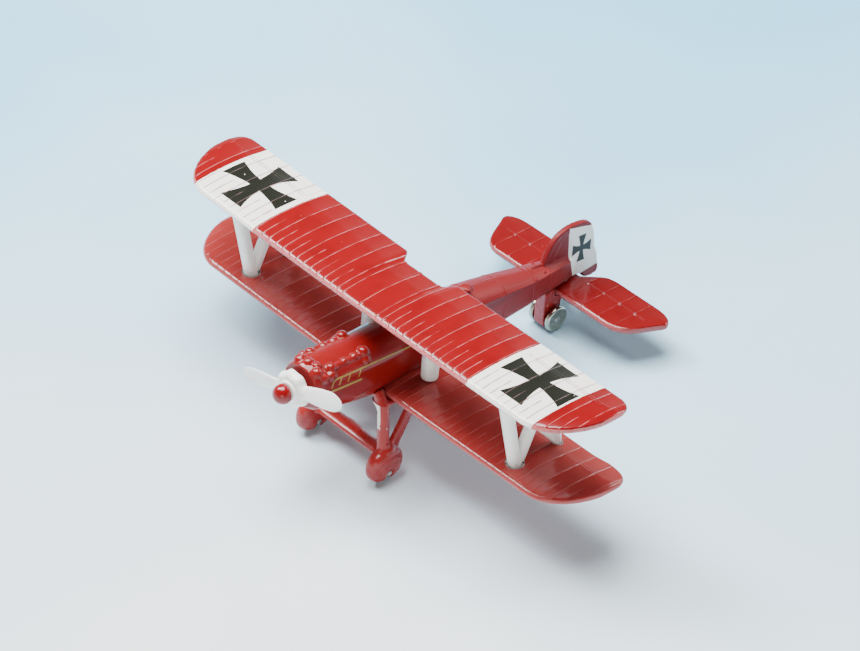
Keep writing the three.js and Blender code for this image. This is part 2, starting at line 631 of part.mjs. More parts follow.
const tailHeadTop = BRACKET_FOOT.z - BRACKET_FOOT.thick - GAP;
addPiece('tail_rivet', join(
  upright(0, TAIL_RIVET.y, tailHeadTop - TAIL_RIVET.headThick, tailHeadTop, TAIL_RIVET.head, 14),
  upright(0, TAIL_RIVET.y, tailHeadTop - WELD, TAIL_RIVET.tip, TAIL_RIVET.shank, 12),
), STEEL);

// --- Wheels and axles ------------------------------------------------------------------

// Turned wheel with a raised rim on its outer face and a bore for its axle.
function wheelSolid(side, wheel, centre, bore) {
  const { radius, width } = wheel;
  const { round, inner, dish, depth } = RIM;
  const profile = [
    [0, bore],
    [0, radius - round],
    [round, radius],
    [width - round, radius],
    [width, radius - round],
    [width, radius * inner],
    [width - depth, radius * dish],
    [width - depth, bore],
    [0, bore],
  ];
  const outward = profile.map(([along, r]) => [side * along, r]);
  return turnedAboutX(side > 0 ? outward : outward.reverse(), centre, 28);
}

sides.forEach(([name, side]) => {
  const centre = [side * TAIL_WHEEL.inner, TAIL_WHEEL.y, TAIL_WHEEL.z];
  const wheel = wheelSolid(side, TAIL_WHEEL, centre, TAIL_AXLE_RADIUS + PRESS_FIT);
  addPiece(`${name}_tail_wheel`, wheel, BRIGHT);
});
const tailAxleReach = TAIL_WHEEL.inner + TAIL_WHEEL.width - PRESS_FIT;
addPiece('tail_axle', rod(
  [-tailAxleReach, TAIL_WHEEL.y, TAIL_WHEEL.z],
  [tailAxleReach, TAIL_WHEEL.y, TAIL_WHEEL.z],
  TAIL_AXLE_RADIUS,
  24,
), STEEL);

// --- Main gear -------------------------------------------------------------------------

function spatSolid(side) {
  const rings = [];
  const bands = 12;
  const steps = 20;
  for (let band = 0; band <= bands; band += 1) {
    const lean = THREE.MathUtils.degToRad(-80 + 160 * band / bands);
    const spread = superPower(Math.cos(lean), SPAT.power);
    const x = side * (SPAT.x + SPAT.halfWidth * superPower(Math.sin(lean), SPAT.power));
    const ring = [];
    for (let step = 0; step < steps; step += 1) {
      const angle = 2 * Math.PI * step / steps;
      const y = SPAT.y + SPAT.halfLength * spread * superPower(Math.cos(angle), SPAT.power);
      const z = SPAT.z + SPAT.halfHeight * spread * superPower(Math.sin(angle), SPAT.power);
      ring.push(new THREE.Vector3(x, y, z));
    }
    rings.push(ring);
  }
  return loft(rings);
}

function wheelWell(side) {
  const x = side * SPAT.x;
  const across = [x - WELL.halfWidth, x + WELL.halfWidth];
  const round = rod([across[0], SPAT.y, MAIN_WHEEL.z], [across[1], SPAT.y, MAIN_WHEEL.z], WELL.radius, 28);
  const mouth = box(
    [across[0], SPAT.y - WELL.radius, BELOW],
    [across[1], SPAT.y + WELL.radius, MAIN_WHEEL.z],
  );
  const ends = [x - 2 * SPAT.halfWidth, x + 2 * SPAT.halfWidth];
  const slotTop = rod([ends[0], SPAT.y, MAIN_WHEEL.z], [ends[1], SPAT.y, MAIN_WHEEL.z], WELL.slot, 16);
  const slot = box([ends[0], SPAT.y - WELL.slot, BELOW], [ends[1], SPAT.y + WELL.slot, MAIN_WHEEL.z]);
  return join(round, mouth, slotTop, slot);
}

function gearSolid(side) {
  const mirror = ([x, y, z]) => [side * x, y, z];
  const front = rod(mirror(FRONT_LEG.foot), mirror(FRONT_LEG.top), FRONT_LEG.radius, 14);
  const rear = rod(
    mirror(REAR_LEG.foot),
    mirror(REAR_LEG.top),
    REAR_LEG.radius,
    16,
    REAR_LEG.radius,
    REAR_LEG.breadth,
  );
  const { inner, outer, front: padFront, back, corner } = ROOT_PAD;
  const outline = new THREE.Shape();
  outline.moveTo(inner, padFront);
  outline.quadraticCurveTo(outer, padFront, outer, padFront + 2 * corner);
  outline.lineTo(outer, back - corner);
  outline.quadraticCurveTo(outer, back, outer - corner, back);
  outline.lineTo(inner, back);
  const padPlate = new THREE.ExtrudeGeometry(outline, {
    depth: ROOT_PAD.thick,
    bevelEnabled: false,
    curveSegments: 4,
  });
  padPlate.translate(0, 0, ROOT_PAD.top - ROOT_PAD.thick);
  const portPad = toSolid(padPlate);
  const pad = side > 0 ? portPad : portPad.mirror([1, 0, 0]);
  const legs = join(front, rear).intersect(box([-WIDE, -WIDE, BELOW], [WIDE, WIDE, ROOT_PAD.top]));
  return cut(join(spatSolid(side), legs, pad), wheelWell(side));
}

sides.forEach(([name, side]) => {
  const centre = [side * SPAT.x, SPAT.y, MAIN_WHEEL.z];
  const inner = [side * (SPAT.x - MAIN_WHEEL.width / 2), SPAT.y, MAIN_WHEEL.z];
  const reach = SPAT.halfWidth - 0.1;
  addPiece(`${name}_main_gear`, gearSolid(side), RED);
  addPiece(`${name}_main_wheel`, wheelSolid(side, MAIN_WHEEL, inner, MAIN_AXLE_RADIUS + PRESS_FIT), BRIGHT);
  addPiece(`${name}_main_axle`, rod(
    [centre[0] - reach, centre[1], centre[2]],
    [centre[0] + reach, centre[1], centre[2]],
    MAIN_AXLE_RADIUS,
    24,
  ), STEEL);
});

// Flat bar with rounded edges that runs from spat to spat.
function fairingSolid() {
  const steps = 14;
  const ring = (x) => {
    const points = [];
    for (let step = 0; step < steps; step += 1) {
      const angle = 2 * Math.PI * step / steps;
      const y = FAIRING.y + FAIRING.halfChord * superPower(Math.cos(angle), FAIRING.power);
      const z = FAIRING.z + FAIRING.halfThick * superPower(Math.sin(angle), FAIRING.power);
      points.push(new THREE.Vector3(x, y, z));
    }
    return points;
  };
  const bar = loft([ring(-SPAT.x), ring(SPAT.x)]);
  const ends = sides.map(([, side]) => {
    const spat = spatSolid(side).translate([-side * GAP, 0, 0]);
    const beyond = box([side * SPAT.x - 1, -WIDE, BELOW], [side * SPAT.x + 1, WIDE, LOWER_WING.level]);
    return join(spat, beyond);
  });
  return cut(bar, ...ends);
}

addPiece('axle_fairing', fairingSolid(), RED);

// --- Propeller -------------------------------------------------------------------------

function bladeSolid() {
  const steps = 12;
  const reaches = [0, 0.2, 0.42, 0.62, 0.78, 0.9, 0.97, 1];
  const rings = reaches.map((share) => {
    const radius = BLADE.root + (BLADE.tip - BLADE.root) * share;
    const swell = 0.5 + 0.5 * Math.sin(Math.PI * Math.min(1, 0.1 + share) ** 1.1 * 0.62);
    const round = Math.sqrt(Math.max(0.04, 1 - Math.max(0, (share - 0.72) / 0.285) ** 2));
    const halfChord = BLADE.chord / 2 * swell * round;
    const halfThick = BLADE.thick / 2 * (1.1 - 0.6 * share);
    const pitch = THREE.MathUtils.degToRad(BLADE.pitch + BLADE.twist * (0.5 - share));
    const ring = [];
    for (let step = 0; step < steps; step += 1) {
      const angle = 2 * Math.PI * step / steps;
      const across = halfChord * Math.cos(angle);
      const deep = halfThick * Math.sin(angle);
      const z = across * Math.cos(pitch) - deep * Math.sin(pitch);
      const y = across * Math.sin(pitch) + deep * Math.cos(pitch);
      ring.push(new THREE.Vector3(radius, y, z));
    }
    return ring;
  });
  return loft(rings);
}

function propellerSolid() {
  const middle = (PROPELLER.front + PROPELLER.back) / 2;
  const outline = new THREE.Shape();
  const steps = 48;
  for (let step = 0; step < steps; step += 1) {
    const angle = 2 * Math.PI * step / steps;
    const radius = PROPELLER.hubRadius + PROPELLER.wave * Math.cos(PROPELLER.waves * angle);
    const place = [radius * Math.cos(angle), radius * Math.sin(angle)];
    if (step === 0) outline.moveTo(...place);
    else outline.lineTo(...place);
  }
  const depth = PROPELLER.back - PROPELLER.front;
  const disc = new THREE.ExtrudeGeometry(outline, { depth, bevelEnabled: false });
  disc.rotateX(Math.PI / 2);
  disc.translate(0, PROPELLER.back - middle, 0);
  const boss = rod([0, -WELD, 0], [0, PROPELLER.front - middle - BOSS.rise, 0], BOSS.radius, 20);
  const blade = bladeSolid();
  const bore = rod([0, -WIDE, 0], [0, WIDE, 0], SPINNER.shank + RUNNING, 24);
  const whole = cut(join(toSolid(disc), boss, blade, blade.rotate([0, 180, 0])), bore);
  return whole.rotate([0, -BLADE.lift, 0]).translate([0, middle, PROPELLER.z]);
}

addPiece('propeller', propellerSolid(), WHITE);

// Dome head in front of the propeller and the shank that the propeller turns on.
function spinnerSolid() {
  const { y, radius, collar, shank, tip } = SPINNER;
  const seat = PROPELLER.front - BOSS.rise - GAP;
  const points = [new THREE.Vector2(0, y - radius)];
  for (let degrees = 75; degrees >= -15; degrees -= 15) {
    const angle = THREE.MathUtils.degToRad(degrees);
    points.push(new THREE.Vector2(radius * Math.cos(angle), y - radius * Math.sin(angle)));
  }
  points.push(new THREE.Vector2(collar, seat));
  points.push(new THREE.Vector2(shank, seat));
  points.push(new THREE.Vector2(shank, tip));
  points.push(new THREE.Vector2(0, tip));
  const geometry = new THREE.LatheGeometry(points, 24);
  geometry.translate(0, 0, PROPELLER.z);
  return toSolid(geometry);
}

addPiece('spinner_pin', spinnerSolid(), RED);

// --- Stand the aircraft on the ground, centred over the origin ---------------------------

model.updateMatrixWorld(true);
const bounds = new THREE.Box3().setFromObject(model, true);
const centre = bounds.getCenter(new THREE.Vector3());
model.position.set(-centre.x, -centre.y, -bounds.min.z);

export default model;
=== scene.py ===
import json
import math
from types import SimpleNamespace as Sizes

import bpy
import numpy as np
from mathutils import Matrix, Vector


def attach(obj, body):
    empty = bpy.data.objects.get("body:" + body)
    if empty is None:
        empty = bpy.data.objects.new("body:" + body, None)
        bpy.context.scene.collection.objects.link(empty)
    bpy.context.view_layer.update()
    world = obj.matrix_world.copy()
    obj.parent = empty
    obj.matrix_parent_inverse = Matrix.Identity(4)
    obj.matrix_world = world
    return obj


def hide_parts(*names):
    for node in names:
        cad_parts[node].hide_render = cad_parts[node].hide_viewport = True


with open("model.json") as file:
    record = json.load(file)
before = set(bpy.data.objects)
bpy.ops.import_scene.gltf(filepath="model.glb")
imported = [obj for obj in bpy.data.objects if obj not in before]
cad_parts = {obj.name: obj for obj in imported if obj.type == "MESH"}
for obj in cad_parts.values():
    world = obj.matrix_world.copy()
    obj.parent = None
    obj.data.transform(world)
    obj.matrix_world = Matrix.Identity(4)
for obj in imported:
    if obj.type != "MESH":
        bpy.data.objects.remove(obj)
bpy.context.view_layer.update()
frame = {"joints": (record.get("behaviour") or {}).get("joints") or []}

# The aircraft's own frame, in millimetres: X to port, Y aft of the upper wing's leading edge,
# Z up from the upper wing's chord plane. AIR takes it to the row frame, in metres.
MM = 0.001
TURN, QUARTER = 2 * math.pi, math.pi / 2
HUB = Vector((0, -15.65, -13.1))
spin = next(j for j in frame["joints"] if j["name"] == "propeller_spin")
nose_up = math.atan2(-spin["axis"][2], spin["axis"][1])
tip_up = Matrix.Rotation(-nose_up, 4, "X")
origin = Vector(spin["pos_m"]) - (tip_up @ HUB) * MM
AIR = Matrix.Translation(origin) @ tip_up @ Matrix.Scale(MM, 4)

SIDES = (("port", 1), ("starboard", -1))

# Half span, leading edge, chord, chord plane, hinge line with its inner and outer end, length of
# the rounded tip, radius of the rear corner, and depth of the cut-out over the cockpit.
UPPER = Sizes(half=55.4, lead=0, chord=20.3, level=-0.65, hinge=15.3, ends=(31.5, 53.0),
              tip=10.7, corner=4, notch=2.8)
LOWER = Sizes(half=54.6, lead=4.1, chord=18.9, level=-20.15, hinge=18.2, ends=(31.5, 52.5),
              tip=9.8, corner=3.6, notch=0)
DIHEDRAL_FROM, DIHEDRAL = 11, 0.0135
RIB_FIRST, RIB_PITCH, RIB_WIDTH = 6.3, 3.93, 0.11
RIB_INNER = 4.7

# The tailplane's edges are (distance out, distance aft) from the middle to the tip.
TAILPLANE = Sizes(half=23.1, chord=12.1, level=-21.8, hinge=62.3, skew=0.022, ribs=(3.8, 8.2, 12.6, 16.8))
TAIL_FRONT = ((0, 55.6), (15.6, 55.6), (17.1, 55.9), (18.4, 56.6), (19.4, 57.6), (20.2, 58.9), (21.0, 60.6),
              (22.2, 63.3), (22.8, 64.4), (23.1, 65.1))
TAIL_BACK = ((0, 63.1), (1.0, 63.1), (4.0, 66.6), (4.8, 67.2), (5.8, 67.5), (7, 67.7), (18.6, 67.7),
             (20.2, 67.5), (21.4, 67.1), (22.3, 66.5), (22.8, 65.8), (23.1, 65.1))

STRUT_X, CABANE_X, CABANE_Y = 37.8, 8.6, 13.2
STRUT_PEGS = (3.3, 14.9)
STAKES = (Sizes(y=8.2, hole=1.65), Sizes(y=19.6, hole=1.0))
BELLY_RIVETS = (("front", 8.2), ("rear", 18.8))
SPAT = Vector((10.1, 1.4, -33.35))
SPAT_HALF = Vector((2.05, 4.3, 3.65))
MAIN_AXLE_Z = -34.8
TAIL_AXLE = Vector((0, 55.65, -27.75))
COCKPIT = Sizes(y=25, half_width=2.65, half_length=3.1)


# --- Meshes ------------------------------------------------------------------------------

def smoothstep(low, high, value):
    t = np.clip((np.asarray(value, float) - low) / (high - low), 0, 1)
    return t * t * (3 - 2 * t)


def between(value, low, high, soft):
    """1 from low to high, 0 outside."""
    return smoothstep(low - soft, low + soft, value) * smoothstep(high + soft, high - soft, value)


class Solid:
    """Closed shells gathered in one list of points and faces, in the aircraft frame."""

    def __init__(self, verts=(), faces=()):
        self.verts = [tuple(v) for v in verts]
        self.faces = [tuple(f) for f in faces]

    def __add__(self, other):
        shift = len(self.verts)
        joined = Solid(self.verts, self.faces)
        joined.verts += other.verts
        joined.faces += [tuple(i + shift for i in f) for f in other.faces]
        return joined


def loft(rings):
    """Closed skin over rings of as many points each, with a fan at each end."""
    rings = [np.asarray(r, float) for r in rings]
    count = len(rings[0])
    verts = np.concatenate(rings + [rings[0].mean(0)[None], rings[-1].mean(0)[None]])
    faces = []
    for r in range(len(rings) - 1):
        for i in range(count):
            a, b = r * count + i, r * count + (i + 1) % count
            faces.append((a, b, b + count, a + count))
    last, ends = (len(rings) - 1) * count, len(rings) * count
    for i in range(count):
        j = (i + 1) % count
        faces.append((ends, j, i))
        faces.append((ends + 1, last + i, last + j))
    first = verts[list(faces[0])]
    outward = np.cross(first[1] - first[0], first[3] - first[0])
    middle = (rings[0].mean(0) + rings[1].mean(0)) / 2
    if outward @ (first.mean(0) - middle) < 0:
        faces = [tuple(reversed(f)) for f in faces]
    return Solid(verts, faces)


def around(steps):
    """Angles of a full turn."""
    return np.linspace(0, TURN, steps, endpoint=False)


def circle(centre, u, v, radius, steps, radius_v=None):
    angles = around(steps)
    u, v, centre = (np.asarray(a, float) for a in (u, v, centre))
    other = radius if radius_v is None else radius_v
    return centre + radius * np.outer(np.cos(angles), u) + other * np.outer(np.sin(angles), v)


def sides_of(direction):
    """Two directions square to this one and to each other."""
    d = Vector(direction).normalized()
    u = d.orthogonal().normalized() if abs(d.x) > 0.9 else Vector((1, 0, 0))
    v = d.cross(u).normalized()
    return v.cross(d), v


ROD_ROUNDING = 0.16


def rod(start, end, radius, radius_end=None, steps=28):
    """Round rod with slightly rounded ends."""
    start, end = Vector(start), Vector(end)
    u, v = sides_of(end - start)
    r1, r2 = radius, radius if radius_end is None else radius_end
    d = (end - start).normalized()
    soft = min(r1, r2) * ROD_ROUNDING
    stops = [(start, r1 - soft), (start + d * soft, r1), (end - d * soft, r2), (end, r2 - soft)]
    return loft([circle(p, u, v, r, steps) for p, r in stops])


def sweep(points, radius, steps=10):
    """Thin round bead along a path."""
    points = [Vector(p) for p in points]
    rings = []
    for i, p in enumerate(points):
        d = points[min(i + 1, len(points) - 1)] - points[max(i - 1, 0)]
        u, v = sides_of(d)
        rings.append(circle(p, u, v, radius, steps))
    return loft(rings)


def ball(centre, radii, steps=20):
    """Ellipsoid with its poles up and down."""
    rings = []
    for k in range(1, steps // 2):
        a = math.pi * k / (steps // 2)
        point = Vector(centre) + Vector((0, 0, radii[2] * math.cos(a)))
        ring = circle(point, (1, 0, 0), (0, 1, 0), radii[0] * math.sin(a), steps, radii[1] * math.sin(a))
        rings.append(ring)
    return loft(rings)


def turned(profile, centre, axis, steps=56):
    """Surface of revolution; profile is (distance along axis, radius), from one end to the other."""
    least = 0.004
    axis = Vector(axis).normalized()
    u, v = sides_of(axis)
    return loft([circle(Vector(centre) + axis * along, u, v, max(r, least), steps) for along, r in profile])


def cuboid(low, high):
    (x0, y0, z0), (x1, y1, z1) = low, high
    rings = [[(x0, y0, z), (x1, y0, z), (x1, y1, z), (x0, y1, z)] for z in (z0, z1)]
    return loft(rings)


def plate(outline, low, high):
    """Side-view outline of (y, z) points, from x = low to x = high."""
    return loft([[(x, y, z) for y, z in outline] for x in (low, high)])


def spline(points, per_span=6):
    """Smooth open line through points."""
    p = np.asarray(points, float)
    ext = np.concatenate([2 * p[:1] - p[1:2], p, 2 * p[-1:] - p[-2:-1]])
    out = []
    for i in range(1, len(ext) - 2):
        for k in range(per_span):
            t = k / per_span
            a, b, c, d = ext[i - 1:i + 3]
            out.append(0.5 * (2 * b + (c - a) * t + (2 * a - 5 * b + 4 * c - d) * t ** 2
                              + (3 * b - a - 3 * c + d) * t ** 3))
    out.append(p[-1])
    return [tuple(q) for q in out]


def to_object(name, solid):
    mesh = bpy.data.meshes.new(name)
    mesh.from_pydata([tuple(map(float, v)) for v in solid.verts], [], solid.faces)
    mesh.update()
    obj = bpy.data.objects.new(name, mesh)
    bpy.context.scene.collection.objects.link(obj)
    return obj


def bake_modifiers(obj):
    depsgraph = bpy.context.evaluated_depsgraph_get()
    mesh = bpy.data.meshes.new_from_object(obj.evaluated_get(depsgraph))
    obj.modifiers.clear()
    old, obj.data = obj.data, mesh
    bpy.data.meshes.remove(old)


def add_skin(obj, voxel):
    """One skin over overlapping shells, in place of them."""
    skin = obj.modifiers.new("skin", "REMESH")
    skin.mode = "VOXEL"
    skin.voxel_size = voxel


def subtract(obj, tool):
    cut = obj.modifiers.new("cut", "BOOLEAN")
    cut.operation = "DIFFERENCE"
    cut.solver = "MANIFOLD"
    cut.object = tool
    bake_modifiers(obj)
    bpy.data.objects.remove(tool)


def cast(name, solid, cutters=None, voxel=0.11, smooth=4):
    """Solid less its cutters, with the soft edges of a painted casting or a moulding."""
    obj = to_object(name, solid)
    add_skin(obj, voxel)
    if cutters is not None:
        bake_modifiers(obj)
        tool = to_object(name + "_cut", cutters)
        add_skin(tool, voxel)
        bake_modifiers(tool)
        subtract(obj, tool)
        add_skin(obj, voxel)
    soften = obj.modifiers.new("soften", "SMOOTH")
    soften.factor = 0.5
    soften.iterations = smooth
    bake_modifiers(obj)
    return obj


def set_attribute(obj, name, values):
    attribute = obj.data.attributes.new(name, "FLOAT", "POINT")
    attribute.data.foreach_set("value", np.asarray(values, np.float32))


def place(obj, body, nodes, material, raised=False):
    """Notes each point's place on the aircraft for the finish, then moves the piece to the row frame."""
    mesh = obj.data
    co = np.zeros(len(mesh.vertices) * 3, np.float32)
    mesh.vertices.foreach_get("co", co)
    craft = mesh.attributes.new("craft", "FLOAT_VECTOR", "POINT")
    craft.data.foreach_set("vector", co)
    if raised:
        points = co.reshape(-1, 3)
        points[:, 2] += DIHEDRAL * np.maximum(0, np.abs(points[:, 0]) - DIHEDRAL_FROM)
        mesh.vertices.foreach_set("co", points.ravel())
    if "wear" not in mesh.attributes:
        set_attribute(obj, "wear", np.zeros(len(mesh.vertices)))
    mesh.transform(AIR)
    mesh.shade_smooth()
    mesh.materials.clear()
    mesh.materials.append(material)
    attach(obj, body)
    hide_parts(*nodes)
    return obj


# --- Materials ---------------------------------------------------------------------------

MIX_SHARE, MIX_BELOW, MIX_OVER, MIX_RESULT = 0, 6, 7, 2


def add_node(tree, kind, inputs, **settings):
    """New shader node; inputs are (name or index, socket to link or plain value)."""
    node = tree.nodes.new("ShaderNode" + kind)
    for name, value in settings.items():
        setattr(node, name, value)
    for key, value in inputs:
        feed(tree, value, node.inputs[key])
    return node


def feed(tree, value, socket):
    """Links a varying value to the socket, or sets a plain one on it."""
    if isinstance(value, Num):
        value = value.socket
    if isinstance(value, bpy.types.NodeSocket):
        tree.links.new(value, socket)
    else:
        socket.default_value = value


class Num:
    """A number in a shader that arithmetic can be done on."""

    def __init__(self, tree, socket):
        self.tree, self.socket = tree, socket

    def op(self, operation, *values, clamp=False):
        node = add_node(self.tree, "Math", enumerate(values), operation=operation, use_clamp=clamp)
        return Num(self.tree, node.outputs[0])

    def __add__(self, other):
        return self.op("ADD", self, other)

    def __sub__(self, other):
        return self.op("SUBTRACT", self, other)

    def __rsub__(self, other):
        return self.op("SUBTRACT", other, self)

    def __mul__(self, other):
        return self.op("MULTIPLY", self, other)

    def __pow__(self, other):
        return self.op("POWER", self, other)

    def abs(self):
        return self.op("ABSOLUTE", self)

    def most(self, other):
        """The larger of the two."""
        return self.op("MAXIMUM", self, other)

    def least(self, other):
        """The smaller of the two."""
        return self.op("MINIMUM", self, other)

    def above(self, edge, soft=0.04):
        """0 below the edge, 1 above it."""
        inputs = (("Value", self - edge), ("From Min", -soft), ("From Max", soft))
        node = add_node(self.tree, "MapRange", inputs, interpolation_type="SMOOTHSTEP")
        return Num(self.tree, node.outputs["Result"])

    def below(self, edge, soft=0.04):
        """1 below the edge, 0 above it."""
        return 1 - self.above(edge, soft)


class Finish:
    """A node material with helpers that work in the aircraft frame's millimetres."""

    def __init__(self, name):
        self.material = bpy.data.materials.new(name)
        self.material.use_nodes = True
        self.tree = self.material.node_tree
        self.surface = self.tree.nodes["Principled BSDF"]
        self.craft = self.add("Attribute", attribute_name="craft").outputs["Vector"]
        split = self.add("SeparateXYZ", (0, self.craft))
        self.x, self.y, self.z = (Num(self.tree, s) for s in split.outputs)
        self.wear = Num(self.tree, self.add("Attribute", attribute_name="wear").outputs["Fac"])

    def add(self, kind, *inputs, **settings):
        return add_node(self.tree, kind, inputs, **settings)

    def noise(self, per_mm, detail=3, stretch=(1, 1, 1), shift=0.0):
        where = (("Vector", self.craft), ("Location", (shift, shift, shift)), ("Scale", stretch))
        place_at = self.add("Mapping", *where).outputs[0]
        node = self.add("TexNoise", ("Vector", place_at), ("Scale", per_mm), ("Detail", detail))
        return Num(self.tree, node.outputs["Fac"])

    def dots(self, per_mm, radius, share):
        """Small specks: 1 inside a speck."""
        cells = self.add("TexVoronoi", ("Vector", self.craft), ("Scale", per_mm))
        near = Num(self.tree, cells.outputs["Distance"]).below(radius, radius * 0.3)
        pick = self.add("SeparateColor", (0, cells.outputs["Color"]))
        return near * Num(self.tree, pick.outputs[0]).below(share, 0.01)

    def pointiness(self):
        return Num(self.tree, self.add("NewGeometry").outputs["Pointiness"])

    def blend(self, below, over, mask):
        """Colour over the one below where the mask is 1."""
        below, over = ((*c, 1) if isinstance(c, tuple) else c for c in (below, over))
        inputs = ((MIX_SHARE, mask), (MIX_BELOW, below), (MIX_OVER, over))
        return self.add("Mix", *inputs, data_type="RGBA").outputs[MIX_RESULT]

    def set(self, **values):
        """Feeds the surface's sockets, by name with _ for each space."""
        for name, value in values.items():
            feed(self.tree, value, self.surface.inputs[name.replace("_", " ")])

    def bump(self, height, strength, distance_mm):
        node = self.add("Bump", ("Height", height), ("Strength", strength), ("Distance", distance_mm * MM))
        self.set(Normal=node.outputs[0])

    def stroke(self, start, end, half_width):
        """Line drawn in side view from (y, z) to (y, z), on both sides of the fuselage."""
        (y0, z0), (y1, z1) = start, end
        dy, dz = y1 - y0, z1 - z0
        run = dy * dy + dz * dz
        py, pz = self.y - y0, self.z - z0
        share = py.op("ADD", py * (dy / run), pz * (dz / run), clamp=True)
        away = ((py - share * dy) ** 2 + (pz - share * dz) ** 2) ** 0.5
        return away.below(half_width, 0.05)

    def cross(self, across, along, half_length, root, flare):
        """Flared cross about (0, 0) of two distances in millimetres."""
        soft = 0.05
        a, b = across.abs(), along.abs()
        arms = []
        for u, v in ((a, b), (b, a)):
            width = (u * (1 / half_length)) ** 2.0 * flare + root
            arms.append((width - v).above(0, soft) * u.below(half_length, soft))
        return arms[0].most(arms[1])


# Reds in pairs, bright and deep: upper wing and spinner, lower wing, fuselage, small castings, tail. All one
# red enamel: lower wing and small castings in lighter copies as painted light, fuselage and tail darker as
# painted shade.
RED, RED_DEEP = (0.205, 0.003, 0.005), (0.16, 0.002, 0.003)
LOWER_WING_PAINTED_LIGHT, LOWER_WING_PAINTED_LIGHT_DEEP = (0.34, 0.034, 0.031), (0.26, 0.025, 0.023)
FUSELAGE_PAINTED_SHADE, FUSELAGE_PAINTED_SHADE_DEEP = (0.21, 0.008, 0.008), (0.165, 0.005, 0.005)
CASTING_PAINTED_LIGHT, CASTING_PAINTED_LIGHT_DEEP = (0.31, 0.016, 0.015), (0.23, 0.011, 0.010)
TAIL_PAINTED_SHADE, TAIL_PAINTED_SHADE_DEEP = (0.165, 0.006, 0.007), (0.13, 0.004, 0.005)
# Pale pink of paint rubbed thin, also the painted highlight along the rib lines.
WORN_AND_HIGHLIGHT = (0.62, 0.16, 0.16)
INK = (0.013, 0.014, 0.010)
PRINT = (0.86, 0.84, 0.80)
BARE = (0.55, 0.54, 0.52)
PRIMER = (0.78, 0.77, 0.72)
RUBBED = (0.60, 0.20, 0.22)
GROOVE = (0.34, 0.12, 0.15)
GOLD = (0.30, 0.22, 0.055)
LOW_PATCH_GREY = (0.52, 0.49, 0.42)


def enamel(name, deep=RED_DEEP, bright=RED):
    """Glossy sprayed enamel with dust nibs; returns the finish and its colour so far."""
    f = Finish(name)
    patches = f.noise(0.16, 4)
    colour = f.blend(deep, bright, patches.above(0.36, 0.22))
    orange_peel = f.noise(0.9, 2)
    nibs = f.dots(0.55, 0.05, 0.16)
    f.bump(orange_peel * 0.35 + nibs * 1.3, 0.35, 0.05)
    f.set(Roughness=f.noise(0.5, 3, shift=4.0) * 0.10 + 0.13, IOR=1.45, Coat_Weight=0.12, Coat_Roughness=0.04)
    return f, f.blend(colour, WORN_AND_HIGHLIGHT, nibs * 0.5)


def chips(f, colour, amount):
    """Paint rubbed off raised and outer edges down to bare metal."""
    raised = f.pointiness().above(0.56, 0.05)
    mask = raised * f.noise(1.1, 5, shift=9.0).above(amount, 0.02)
    f.set(Metallic=mask * 0.85)
    return f.blend(colour, BARE, mask)


def casting_material():
    """Enamel of the small castings in a lighter copy of the red as painted light, flaked off down the outer
    front of the port front leg.
    """
    f, colour = enamel("red_enamel", CASTING_PAINTED_LIGHT_DEEP, CASTING_PAINTED_LIGHT)
    f.set(Roughness=f.noise(0.5, 3, shift=4.0) * 0.12 + 0.22)
    colour = chips(f, colour, 0.70)
    leg_top, leg_x, leg_y, leg_out, leg_forward = -21.0, 7.1, 2.6, 0.29, 0.17
    flake_from, flake_length = 0.62, 4.6
    toward = (-0.687, -0.727)
    drop = leg_top - f.z
    across = (f.x - drop * leg_out - leg_x) * toward[0] + (f.y + drop * leg_forward - leg_y) * toward[1]
    ragged = f.noise(1.6, 4, shift=6.0) * 0.9 - 0.45
    flake = (across + ragged * 0.9).above(flake_from, 0.03) * (drop + ragged).above(0.0, 0.05)
    flake = flake * (drop + ragged).below(flake_length, 0.05) * f.x.above(0.0)
    f.set(Base_Color=f.blend(colour, PRIMER, flake), Metallic=0.0)
    return f.material


def rib_lines(f, edge=1.42):
    """Raised lines where the paint has rubbed thin, with a painted highlight along the ribs, broken up along
    their length.
    """
    return (f.wear + f.noise(1.1, 4, stretch=(1, 0.30, 1)) * 1.2).above(edge, 0.12)


def upper_wing_material():
    """Enamel with a white band and a flared cross printed across each half's top."""
    f, red = enamel("red_enamel_printed_wing")
    reach = f.x.abs()
    broken = f.noise(1.1, 4, stretch=(1, 0.30, 1))
    # Rib lines: rubbed paint and a painted highlight, paler on the red and through the black cross.
    lines = rib_lines(f, 1.36)
    red = f.blend(red, WORN_AND_HIGHLIGHT, lines * 0.62)
    edge = f.wear.above(1.6, 0.4) * f.noise(1.3, 4, shift=3.0).above(0.46, 0.10)
    red = f.blend(red, RUBBED, edge * 0.55)
    grooves = (f.wear + broken * 0.9).above(0.86, 0.16) * f.wear.below(1.1, 0.1)
    white = f.blend(PRINT, GROOVE, grooves * 0.9)
    ragged = f.noise(0.8, 3, shift=7.0) * 0.24 - 0.12
    band_inner, band_outer, band_lean = 30.2, 47.75, -0.006
    outer = f.x * band_lean + band_outer
    band = (reach + ragged).above(band_inner, 0.06) * (reach + ragged).below(outer, 0.06)
    colour = f.blend(red, white, band * f.z.above(-1.0, 0.12))
    cross_x, cross_y, cross_lean = 39.3, 10.35, 0.007
    cross = f.cross(reach - cross_x, f.y - cross_y - f.x * cross_lean, half_length=7.75, root=1.35, flare=1.6)
    scuffs = 1 - f.dots(0.8, 0.10, 0.14)
    ink = cross * f.z.above(-0.9, 0.1) * scuffs * (1 - lines * 0.25)
    f.set(Base_Color=f.blend(colour, INK, ink))
    return f.material


